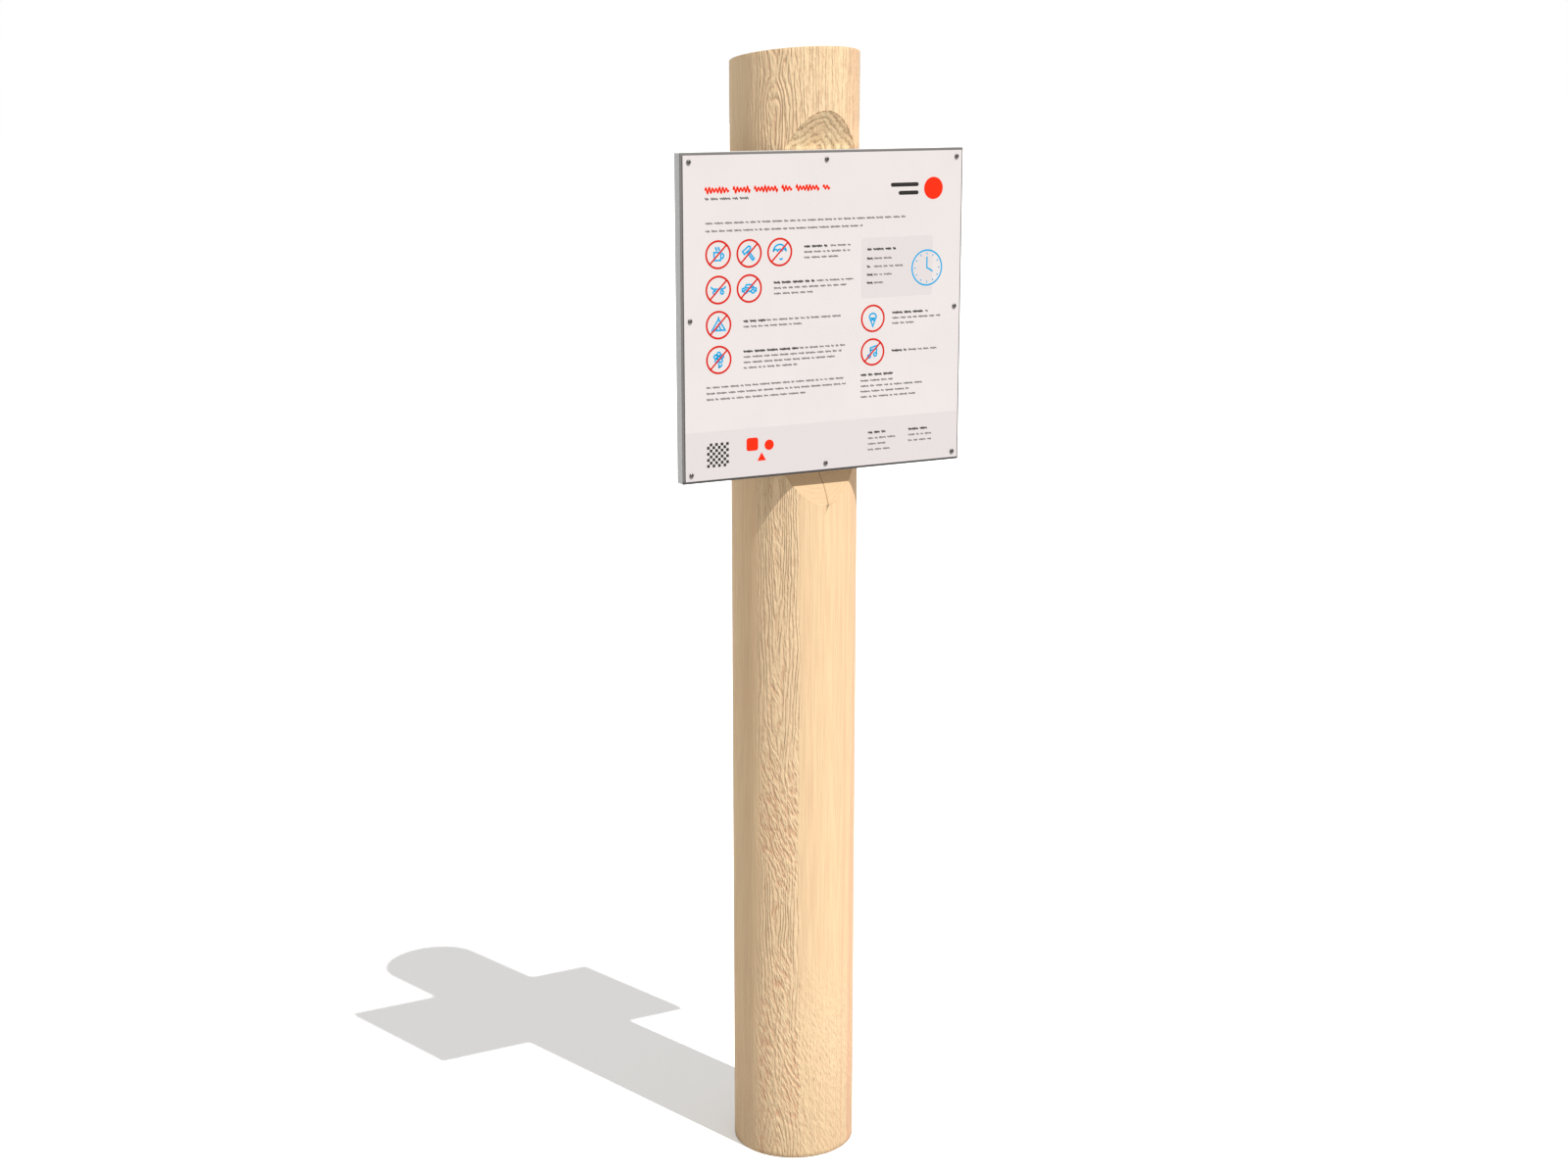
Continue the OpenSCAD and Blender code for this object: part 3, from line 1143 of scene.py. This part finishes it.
    def build(self, shop: Workshop) -> Piece:
        """Builds the post as one closed skin.

        Args:
            shop: The shared node groups.

        Returns:
            The post's object.
        """
        grid = self.grid()
        turn, reach, level = grid["turn"], grid["reach"], grid["level"]
        outer = np.stack([reach * np.sin(turn), -reach * np.cos(turn), level], -1).reshape(-1, 3)
        poles = [[0, 0, self.bore_depth], [0, 0, float(self.top_level(0.0, 0.0))]]
        blocks = self.faces(grid["side"])
        finishes = [TurnedTimber().make(shop), SawnTimber().make(shop), EndTimber().make(shop)]
        piece = link_mesh("timber_post", np.concatenate([outer, poles]), blocks, finishes)
        side = np.append(grid["side"], [-1, -1])
        part = np.append(grid["part"], [0, 0])
        tags = [np.where((side[block] >= 0).all(1), 1, 0) for block in blocks]
        tags = [np.where((part[block] != 1).any(1), 2, tag) for block, tag in zip(blocks, tags)]
        edge_distance = self.edge_distance(turn, level, self.rim_gap(turn, level))
        values = {
            "ridge": self.ridge_phase(turn, level),
            "rough": self.roughness(turn, level),
            "torn": self.torn(turn, level),
            "blush": self.blush(turn, level),
            "crack": grid["crack"],
            "rim": smooth_step(edge_distance, self.cut_ease, 0.5 * MM),
            "ring": self.ring_count(turn, reach, level),
            "upper": smooth_step(level, 1.40, 1.60),
            "around": self.around(turn),
        }
        self.write(piece.data, np.concatenate(tags), side, values)
        return piece

    def write(
        self,
        mesh: bpy.types.Mesh,
        tags: Array,
        side: Array,
        values: dict[str, Array],
    ) -> None:
        """Writes the skin's shading data into its mesh.

        Args:
            mesh: The post's mesh.
            tags: The material number of each face.
            side: 1 on the cut, 0 on its edge and -1 elsewhere, for each point.
            values: The numbers that the materials read, for each of the grid's points.
        """
        mesh.polygons.foreach_set("material_index", tags.astype(np.int32))
        for name, grid in values.items():
            data = mesh.attributes.new(name, "FLOAT", "POINT").data
            data.foreach_set("value", np.append(grid, [0.0, 0.0]).astype(np.float32))
        ends = np.zeros(len(mesh.edges) * 2, np.int32)
        mesh.edges.foreach_get("vertices", ends)
        sharp = (side[ends.reshape(-1, 2)] == 0).all(1)
        mesh.shade_smooth()
        mesh.attributes.new("sharp_edge", "BOOLEAN", "EDGE").data.foreach_set("value", sharp)
        mesh.update()


@dataclass(frozen=True)
class Studio:
    """The plain pale floor, the sky, the sun and the camera."""

    floor_reach: float = 60.0
    floor_colour: Colour = (1.0, 1.0, 0.99, 1.0)
    lift_colour: Colour = (1.0, 0.995, 0.98, 1.0)
    shadow_lift: float = 0.25
    bounce: float = 0.375
    sky: float = 0.43
    sun_power: float = 3.96
    sun_spread: float = math.radians(0.5)
    to_sun: Triple = (0.1414, -0.4786, 0.8666)
    eye: Triple = (-1.6865, -3.0681, 1.7721)
    gaze: Triple = (0.4651, 0.8554, -0.2282)
    lens: float = 51.23
    sensor: float = 36.0
    sight: float = 300.0

    def put(self, name: str, data: bpy.types.ID, facing: Triple, axis: str) -> Piece:
        """Adds a camera or a lamp with one of its own axes along a direction.

        Args:
            name: The object's name.
            data: The camera or lamp.
            facing: The direction.
            axis: The axis that is turned to it.

        Returns:
            The object.
        """
        thing = bpy.data.objects.new(name, data)
        thing.rotation_euler = Vector(facing).to_track_quat(axis, "Y").to_euler()
        bpy.context.scene.collection.objects.link(thing)
        return thing

    def build_camera(self) -> None:
        """Adds the camera at the photograph's viewpoint."""
        data = bpy.data.cameras.new("view")
        data.lens, data.sensor_width, data.sensor_fit = self.lens, self.sensor, "HORIZONTAL"
        data.clip_end = self.sight
        camera = self.put("view", data, self.gaze, "-Z")
        camera.location = self.eye
        bpy.context.scene.camera = camera

    def build_sun(self) -> None:
        """Adds the sun lamp."""
        data = bpy.data.lights.new("sun", "SUN")
        data.energy, data.angle = self.sun_power, self.sun_spread
        self.put("sun", data, self.to_sun, "Z")

    @staticmethod
    def emptied(owner: bpy.types.ID) -> NodeTree:
        """Empties the node tree of a world or a material.

        Args:
            owner: The world or material.

        Returns:
            Its tree, ready for new nodes.
        """
        owner.use_nodes = True
        owner.node_tree.nodes.clear()
        return NodeTree(owner.node_tree)

    @staticmethod
    def split_by_ray(tree: NodeTree, other: bpy.types.Node, direct: bpy.types.Node) -> Socket:
        """Gives rays that show the background itself one shader, and all others another.

        Args:
            tree: The tree that both shaders are in.
            other: The shader for rays that only carry light.
            direct: The shader for camera rays, gloss and glass.

        Returns:
            The joined shader.
        """
        path = tree.node("LightPath").outputs
        shown = tree.larger(path["Is Camera Ray"], path["Is Glossy Ray"])
        shown = tree.larger(shown, path["Is Transmission Ray"])
        return tree.node("MixShader", {0: shown, 1: other.outputs[0], 2: direct.outputs[0]}).outputs[0]

    def build_sky(self) -> None:
        """Sets an even sky that shows white behind the object and lights it at a plain level."""
        world = bpy.data.worlds.new("sky")
        tree = self.emptied(world)
        lighting = tree.node("Background", {"Color": WHITE, "Strength": self.sky})
        shown = tree.node("Background", {"Color": WHITE, "Strength": 1.0})
        tree.node("OutputWorld", {"Surface": self.split_by_ray(tree, lighting, shown)})
        bpy.context.scene.world = world

    def build_floor(self) -> None:
        """Adds the floor, which shows white with a pale grey shadow."""
        material = bpy.data.materials.new("floor")
        tree = self.emptied(material)
        shown = tree.node("BsdfDiffuse", {"Color": self.floor_colour})
        lift = tree.node("Emission", {"Color": self.lift_colour, "Strength": self.shadow_lift})
        bright = tree.node("AddShader", {0: shown.outputs[0], 1: lift.outputs[0]})
        dull = tree.node("BsdfDiffuse", {"Color": (self.bounce, self.bounce, self.bounce, 1.0)})
        tree.node("OutputMaterial", {"Surface": self.split_by_ray(tree, dull, bright)})
        far = self.floor_reach
        corners = np.array([[-far, -far, 0], [far, -far, 0], [far, far, 0], [-far, far, 0]])
        floor = link_mesh("floor", corners, [np.array([[0, 1, 2, 3]])], [material])

    def build(self) -> None:
        """Builds the whole studio."""
        self.build_camera()
        self.build_sun()
        self.build_sky()
        self.build_floor()
        bpy.context.scene.view_settings.view_transform = "Standard"
        log.info("studio: camera, sun, sky and floor")


@dataclass(frozen=True)
class Panel:
    """The carrier board, the printed plate's three layers and the screws, all in their CAD shapes."""

    screws: int = 8
    coach_screws: int = 4

    def build(self, shop: Workshop) -> None:
        """Dresses the panel's CAD nodes.

        Args:
            shop: The shared node groups.
        """
        dress("board", BoardPlastic().make(shop))
        skin = WhiteSkin().make(shop)
        dress("front_skin", skin)
        dress("rear_skin", skin)
        dress("plate_core", DarkCore().make(shop))
        dark = Metal("dark_steel", (0.12, 0.11, 0.105, 1), (0.07, 0.065, 0.06, 1)).make(shop)
        zinc = Metal("zinc_steel", (0.66, 0.67, 0.68, 1), (0.50, 0.51, 0.53, 1)).make(shop)
        for number in range(1, self.screws + 1):
            dress(f"face_screw_{number}", dark)
        for number in range(1, self.coach_screws + 1):
            dress(f"coach_screw_{number}", zinc)
            dress(f"washer_{number}", zinc)


@dataclass(frozen=True)
class Stroke:
    """The centre line of a stroke, in millimetres, and whether it closes on itself."""

    path: Outline
    closed: bool = False


def arc(x: float, z: float, radius: float, start: float, end: float, count: int = 22) -> Outline:
    """Points round a centre at a radius, from a start angle to an end angle in degrees."""
    turn = np.radians(np.linspace(start, end, count))
    return np.stack([x + radius * np.cos(turn), z + radius * np.sin(turn)], 1)


def circle(x: float, z: float, radius: float, count: int = 28) -> Stroke:
    """A closed circle as a stroke."""
    return Stroke(arc(x, z, radius, 0.0, 360.0 - 360.0 / count, count), True)


def line(*corners: tuple[float, float]) -> Stroke:
    """An open stroke through corners."""
    return Stroke(np.array(corners, float))


def loop(*corners: tuple[float, float]) -> Stroke:
    """A closed stroke through corners."""
    return Stroke(np.array(corners, float), True)


def rounded(width: float, height: float, radius: float, x: float = 0.0, z: float = 0.0) -> Outline:
    """Outline of a rectangle with rounded corners: four quarter circles joined by straight sides.

    Args:
        width: Its width.
        height: Its height.
        radius: Its corners' radius.
        x: Its middle's place across.
        z: Its middle's height.

    Returns:
        Its corners, counter-clockwise.
    """
    corners = []
    for number, (across, up) in enumerate(((1, 1), (-1, 1), (-1, -1), (1, -1))):
        middle = (x + across * (width / 2 - radius), z + up * (height / 2 - radius))
        corners.append(arc(*middle, radius, 90.0 * number, 90.0 * number + 90.0, 7))
    return np.concatenate(corners)


class Icon(Enum):
    """The simple signs inside the rings."""

    FLOWER = "flower"
    TENT = "tent"
    CAR = "car"
    CUP = "cup"
    HAMMER = "hammer"
    BOARD = "skateboard"
    NOTES = "notes"
    ICE = "ice cream"
    UMBRELLA = "umbrella"


def icon_strokes(icon: Icon) -> list[Stroke]:
    """Gives an icon's strokes.

    Args:
        icon: Which icon.

    Returns:
        Its strokes, within 13 mm of the ring's middle.
    """
    if icon is Icon.FLOWER:
        petals = [circle(*middle, 2.7) for middle in arc(0, 3.2, 5.6, 90, 378, 5)]
        stem, leaf = line((0, -5), (0.4, -9), (0, -12.6)), line((0, -11), (3.8, -9.6), (5.6, -6.6))
        return [*petals, circle(0, 3.2, 2.0), stem, leaf]
    if icon is Icon.TENT:
        cloth, entrance = loop((-11, -8), (11, -8), (0, 9)), line((-3.8, -7.4), (0, 0.8), (3.8, -7.4))
        return [cloth, entrance, line((0, 9.0), (0, 12.4))]
    if icon is Icon.CAR:
        nose = ((-9.6, -4), (-11.6, -4), (-11.6, 0), (-7.6, 1), (-4.6, 5.6))
        tail = ((4.2, 5.6), (7.6, 1), (11.6, 0), (11.6, -4), (9.6, -4))
        wheels = [circle(x, -4.4, 2.7) for x in (-6.2, 6.2)]
        return [line(*nose, *tail), *wheels, line((-2.9, -4.2), (2.9, -4.2)), line((-6, 1), (6.2, 1))]
    if icon is Icon.CUP:
        steam = np.stack([np.sin(np.linspace(0, 2 * np.pi, 12)) * 0.9, np.linspace(5.6, 11.4, 12)], 1)
        mug, handle = loop((-7, 3.4), (-6, -8.4), (4, -8.4), (5, 3.4)), Stroke(arc(5.4, -2, 3.8, 78, -88, 12))
        return [mug, handle, Stroke(steam - (3.2, 0)), Stroke(steam + (1.4, 0))]
    if icon is Icon.HAMMER:
        turn = np.radians(38)
        spin = np.array([[np.cos(turn), np.sin(turn)], [-np.sin(turn), np.cos(turn)]])
        head = loop((-7, 4), (6, 4), (7.4, 6.6), (6, 9.2), (-7, 9.2))
        grip = line((-1.5, 3.4), (-1.7, -11.6), (1.7, -11.6), (1.5, 3.4))
        return [Stroke(part.path @ spin, part.closed) for part in (head, grip)]
    if icon is Icon.BOARD:
        deck = line((-12.2, 5.2), (-10.4, 2.6), (-7.2, 1.4), (7.2, 1.4), (10.4, 2.6), (12.2, 5.2))
        wheels = [circle(x, -3.6, 2.4) for x in (-6.2, 6.2)]
        return [deck, *wheels, *(line((x, 1.0), (x, -0.8)) for x in (-6.2, 6.2))]
    if icon is Icon.NOTES:
        stems = line((-3.8, -6.2), (-3.8, 6.6), (7.2, 9.4), (7.2, -3.6))
        return [stems, line((-3.8, 2.4), (7.2, 5.2)), circle(-6.3, -6.6, 2.5, 18), circle(4.7, -4.0, 2.5, 18)]
    if icon is Icon.ICE:
        crosses = [line((3.0 * side, -3.9), (-1.6 * side, 0.0)) for side in (-1, 1)]
        return [loop((-5.2, 0.2), (0, -12.2), (5.2, 0.2)), Stroke(arc(0, 1.6, 6.2, -6, 186)), *crosses]
    ribs = [Stroke(arc(x, 0.6, 3.6, 0, 180, 10)) for x in (-7.2, 0.0, 7.2)]
    hook = np.concatenate([[(0.0, 4.0), (0.0, -8.6)], arc(2.3, -8.6, 2.3, 180, 350, 10)])
    return [Stroke(arc(0, 0.6, 10.8, 0, 180, 26)), *ribs, Stroke(hook)]


@dataclass
class InkLayer:
    """Flat closed shapes of one ink, gathered into one mesh on the plate's face.

    Shapes are drawn in millimetres to the right and up from the plate's middle. Each shape lies a
    hair higher than the one before it, and the heights start again after so many steps, so that
    shapes that cross share no plane.
    """

    name: str
    colour: Colour
    lift: float
    face: float
    middle: float
    step: float = 0.00004
    steps: int = 40
    sharpest: float = 0.35
    blocks: list[Array] = field(default_factory=list)
    faces: list[Array] = field(default_factory=list)
    count: int = 0

    def lay(self, flat: Outline, front: Array, rim: Array) -> None:
        """Adds one closed shape.

        Args:
            flat: Its corners.
            front: Faces over the corners, counter-clockwise seen from the front.
            rim: Pairs of corners along its outline, with the shape on their left.
        """
        lift = (self.lift + self.step * (len(self.blocks) % self.steps)) * MM
        size = len(flat)
        across, up = flat[:, 0] * MM, flat[:, 1] * MM + self.middle
        depths = (np.full(size, self.face - lift), np.full(size, self.face))
        self.blocks.append(np.concatenate([np.stack([across, depth, up], 1) for depth in depths]))
        wall = np.stack([rim[:, 1], rim[:, 0], rim[:, 0] + size, rim[:, 1] + size], 1)
        self.faces += [front + self.count, front[:, ::-1] + size + self.count, wall + self.count]
        self.count += 2 * size

    def ribbon(self, stroke: Stroke, width: float, shift: tuple[float, float] = (0.0, 0.0)) -> None:
        """Lays a ribbon of even width along a stroke.

        Each point moves out to both sides along the mean of its two segments' normals, divided by
        one plus their product, which is the mitre that keeps the width.

        Args:
            stroke: The centre line.
            width: The ribbon's width.
            shift: Where the stroke's origin comes to lie.
        """
        path = stroke.path + np.array(shift)
        size = len(path)
        here = np.arange(size if stroke.closed else size - 1)
        ahead = (here + 1) % size
        run = path[ahead] - path[here]
        run = run / np.linalg.norm(run, axis=1, keepdims=True)
        normal = np.stack([-run[:, 1], run[:, 0]], 1)
        before = np.roll(normal, 1, 0) if stroke.closed else np.concatenate([normal[:1], normal])
        after = normal if stroke.closed else np.concatenate([normal, normal[-1:]])
        mitre = (before + after) / (1 + (before * after).sum(1, keepdims=True)).clip(self.sharpest)
        flat = np.concatenate([path + mitre * width / 2, path - mitre * width / 2])
        front = np.stack([here + size, ahead + size, ahead, here], 1)
        rim = np.concatenate([front[:, :2], front[:, 2:]])
        if not stroke.closed:
            rim = np.concatenate([rim, [[0, size], [2 * size - 1, size - 1]]])
        self.lay(flat, front, rim)

    def fill(self, outline: Outline) -> None:
        """Fills an outline, given counter-clockwise, with triangles about its middle.

        Args:
            outline: The outline's corners.
        """
        size = len(outline)
        rim = np.stack([np.arange(size), (np.arange(size) + 1) % size], 1)
        front = np.column_stack([rim, np.full(size, size)])
        self.lay(np.concatenate([outline, outline.mean(0)[None]]), front, rim)

    def build(self, shop: Workshop) -> Piece:
        """Builds the layer's mesh and gives it its ink."""
        material = InkFinish(f"{self.name}_finish", self.colour).make(shop)
        return link_mesh(self.name, np.concatenate(self.blocks), self.faces, [material])


@dataclass(frozen=True)
class Writing:
    """The look of a row of waves that stands for a line of words, in millimetres.

    The gap between two words is a share of a wave's length and a share of its height.
    """

    height: float
    wave: float
    width: float
    points_per_wave: int = 8
    least_points: int = 4
    swell: float = 0.22
    swell_pace: float = 1.7
    least_waves: int = 2
    most_waves: int = 7
    last_waves: float = 1.5
    gap_of_wave: float = 0.85
    gap_of_height: float = 0.3


@dataclass
class Print:
    """The plate's printed design: rings with simple signs, rows of waves, a clock and a footer."""

    margin: float = -205.0
    ring_radius: float = 19.9
    ring_width: float = 2.9
    slash_width: float = 2.5
    icon_width: float = 2.5
    ring_pitch: float = 51.8
    plain: Writing = Writing(3.0, 2.4, 0.72)
    bold: Writing = Writing(3.2, 2.6, 1.3)
    heading: Writing = Writing(8.4, 5.6, 2.5)
    subheading: Writing = Writing(3.4, 2.9, 1.0)
    bold_gap: float = 2.0
    least_row: float = 4.0
    draws: np.random.Generator = field(default_factory=lambda: np.random.default_rng(7))
    tint: InkLayer = field(init=False)
    red: InkLayer = field(init=False)
    deep_red: InkLayer = field(init=False)
    blue: InkLayer = field(init=False)
    dark: InkLayer = field(init=False)

    def __post_init__(self) -> None:
        """Starts a layer for each ink on the plate's face."""
        low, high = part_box("front_skin")
        place = (low.y, (low.z + high.z) / 2)
        self.tint = InkLayer("print_tint", screen_colour(224, 216, 214), 0.04, *place)
        self.red = InkLayer("print_red", screen_colour(250, 44, 4), 0.13, *place)
        self.deep_red = InkLayer("print_deep_red", screen_colour(214, 26, 0), 0.16, *place)
        self.blue = InkLayer("print_blue", screen_colour(0, 166, 222), 0.09, *place)
        self.dark = InkLayer("print_dark", screen_colour(38, 35, 34), 0.10, *place)

    def build(self, shop: Workshop) -> list[Piece]:
        """Draws the design and builds one piece for each ink.

        Args:
            shop: The shared node groups.

        Returns:
            The pieces.
        """
        self.draw_head()
        self.draw_rings()
        self.draw_box()
        self.draw_closing_rows()
        self.draw_footer()
        layers = (self.tint, self.red, self.deep_red, self.blue, self.dark)
        return [layer.build(shop) for layer in layers]

    def row(self, ink: InkLayer, x: float, z: float, length: float, writing: Writing) -> None:
        """Draws a row of waves, broken into pieces as long as words.

        A piece's height over its row is its half height times a sine of the way along, swelling
        and shrinking a little from wave to wave.

        Args:
            ink: The layer to draw in.
            x: The row's start.
            z: The row's middle.
            length: Its length.
            writing: Its look.
        """
        end = x + length
        while x < end - writing.last_waves * writing.wave:
            waves = int(self.draws.integers(writing.least_waves, writing.most_waves + 1))
            stop = min(x + waves * writing.wave, end)
            count = int((stop - x) / writing.wave * writing.points_per_wave)
            along = np.linspace(x, stop, max(writing.least_points, count))
            phase = self.draws.uniform(0, 6)
            swing = np.sin(along / writing.wave * writing.swell_pace + phase)
            swell = 1 - writing.swell + writing.swell * swing
            up = z + writing.height / 2 * swell * np.sin((along - x) / writing.wave * 2 * math.pi)
            ink.ribbon(Stroke(np.stack([along, up], 1)), writing.width)
            x = stop + writing.gap_of_wave * writing.wave + writing.gap_of_height * writing.height

    def rows(
        self,
        x: float,
        z: float,
        lengths: tuple[float, ...],
        bold: float = 0.0,
        pitch: float = 6.6,
    ) -> None:
        """Draws a block of rows, the first of which starts with a bold stretch.

        Args:
            x: The rows' start.
            z: The first row's middle.
            lengths: The rows' lengths.
            bold: The length of the bold stretch.
            pitch: The distance from row to row.
        """
        if bold:
            self.row(self.dark, x, z, bold - self.bold_gap, self.bold)
        for number, length in enumerate(lengths):
            start = 0.0 if number else bold
            if length > start + self.least_row:
                self.row(self.dark, x + start, z - number * pitch, length - start, self.plain)

    def ring(self, icon: Icon, x: float, z: float, barred: bool = True) -> None:
        """Draws a sign: an icon in a red ring, with a bar across it if it forbids.

        Args:
            icon: The icon.
            x: The ring's middle across.
            z: The ring's middle up.
            barred: Whether the sign forbids.
        """
        for stroke in icon_strokes(icon):
            self.blue.ribbon(stroke, self.icon_width, (x, z))
        self.deep_red.ribbon(circle(x, z, self.ring_radius, 64), self.ring_width)
        if barred:
            reach = (self.ring_radius - self.ring_width / 2 + 0.6) * math.sqrt(0.5)
            self.deep_red.ribbon(line((x - reach, z - reach), (x + reach, z + reach)), self.slash_width)

    def draw_head(self) -> None:
        """Draws the heading, the plain mark beside it and the opening rows."""
        self.row(self.red, self.margin, 190.0, 222.0, self.heading)
        self.row(self.dark, self.margin, 177.5, 78.0, self.subheading)
        self.red.fill(arc(190.0, 184.0, 17.0, 0.0, 352.5, 48))
        self.dark.fill(rounded(50.0, 6.0, 3.0, 138.0, 190.5))
        self.dark.fill(rounded(36.0, 6.0, 3.0, 145.0, 178.0))
        self.rows(self.margin, 142.0, (345.0, 268.0), pitch=11.4)

    def draw_rings(self) -> None:
        """Draws the rings and the rows beside them."""
        first = self.margin + self.ring_radius + 1.0
        for z, icons, lengths, bold in (
            (96.0, (Icon.CUP, Icon.HAMMER, Icon.UMBRELLA), (86.0, 80.0, 62.0), 46.0),
            (44.0, (Icon.BOARD, Icon.CAR), (138.0, 126.0, 70.0), 74.0),
            (-8.0, (Icon.TENT,), (168.0, 104.0), 40.0),
            (-60.0, (Icon.FLOWER,), (176.0, 170.0, 158.0, 92.0), 96.0),
        ):
            for number, icon in enumerate(icons):
                self.ring(icon, first + number * self.ring_pitch, z)
            start = first + len(icons) * self.ring_pitch - 10.0
            self.rows(start, z + 3.3 * (len(lengths) - 1), lengths, bold, 8.2)
        self.ring(Icon.ICE, 83.0, -12.0, False)
        self.rows(118.0, -5.0, (70.0, 88.0, 44.0), 60.0, 8.2)
        self.ring(Icon.NOTES, 83.0, -64.0)
        self.rows(118.0, -64.0, (88.0,), 30.0)

    def draw_box(self) -> None:
        """Draws the tinted box with its rows, and the clock that overlaps its right edge."""
        self.tint.fill(rounded(128.0, 92.0, 5.0, 126.0, 66.0))
        self.rows(72.0, 94.0, (60.0,), 60.0)
        for number, length in enumerate((50.0, 64.0, 46.0, 34.0)):
            self.rows(72.0, 80.0 - 12.4 * number, (length,), 12.0)
        x, z = 180.0, 62.0
        self.blue.ribbon(circle(x, z, 27.0, 72), 2.4)
        self.blue.ribbon(line((x, z + 17.0), (x, z), (x + 11.0, z - 6.0)), 2.4)
        for hour in zip(*(arc(x, z, radius, 0.0, 330.0, 12) for radius in (20.4, 23.4))):
            self.blue.ribbon(line(*hour), 1.5)

    def draw_closing_rows(self) -> None:
        """Draws the last paragraph and the listed rows."""
        self.rows(self.margin, -101.0, (236.0, 240.0, 170.0), pitch=9.0)
        self.rows(62.0, -99.0, (60.0,), 60.0)
        self.rows(62.0, -108.0, (58.0, 116.0, 88.0, 104.0), pitch=8.4)

    def draw_footer(self) -> None:
        """Draws the footer band with a chequered square, three plain shapes and two short columns."""
        low, high, half = -240.6, -167.0, 240.6
        self.tint.fill(np.array([(-half, low), (half, low), (half, high), (-half, high)]))
        cells, cell = 8, 37.0 / 8
        side = 0.96 * cell
        for up in range(cells):
            for across in range(up % 2, cells, 2):
                corner = np.array([self.margin + across * cell, -222.0 + up * cell])
                self.dark.fill(corner + np.array([(0, 0), (side, 0), (side, side), (0, side)]))
        self.red.fill(rounded(20.0, 20.0, 4.0, -128.0, -192.0))
        self.red.fill(arc(-99.0, -195.0, 8.0, 0.0, 352.0, 40))
        self.red.fill(arc(-112.0, -214.0, 8.6, 90.0, 330.0, 3))
        self.rows(76.0, -190.0, (34.0, 50.0, 32.0, 42.0), 34.0, 9.0)
        self.rows(150.0, -190.0, (38.0, 48.0, 44.0), 38.0, 9.0)


@dataclass(frozen=True)
class Anchor:
    """The steel sleeve in the foot's bore."""

    bright: Colour = (0.55, 0.55, 0.56, 1.0)
    dull: Colour = (0.38, 0.37, 0.37, 1.0)

    def build(self, shop: Workshop) -> None:
        """Dresses the sleeve's CAD node."""
        steel = Metal("sleeve_steel", self.bright, self.dull, smooth=0.35, matt=0.6)
        dress("anchor_sleeve", steel.make(shop))


def main() -> None:
    """Builds the sign's pieces in order."""
    Studio().build()
    shop = Workshop()
    hand_over(Post().build(shop), ("post",))
    Panel().build(shop)
    for piece in Print().build(shop):
        hand_over(piece)
    Anchor().build(shop)


if __name__ == "__main__":
    main()
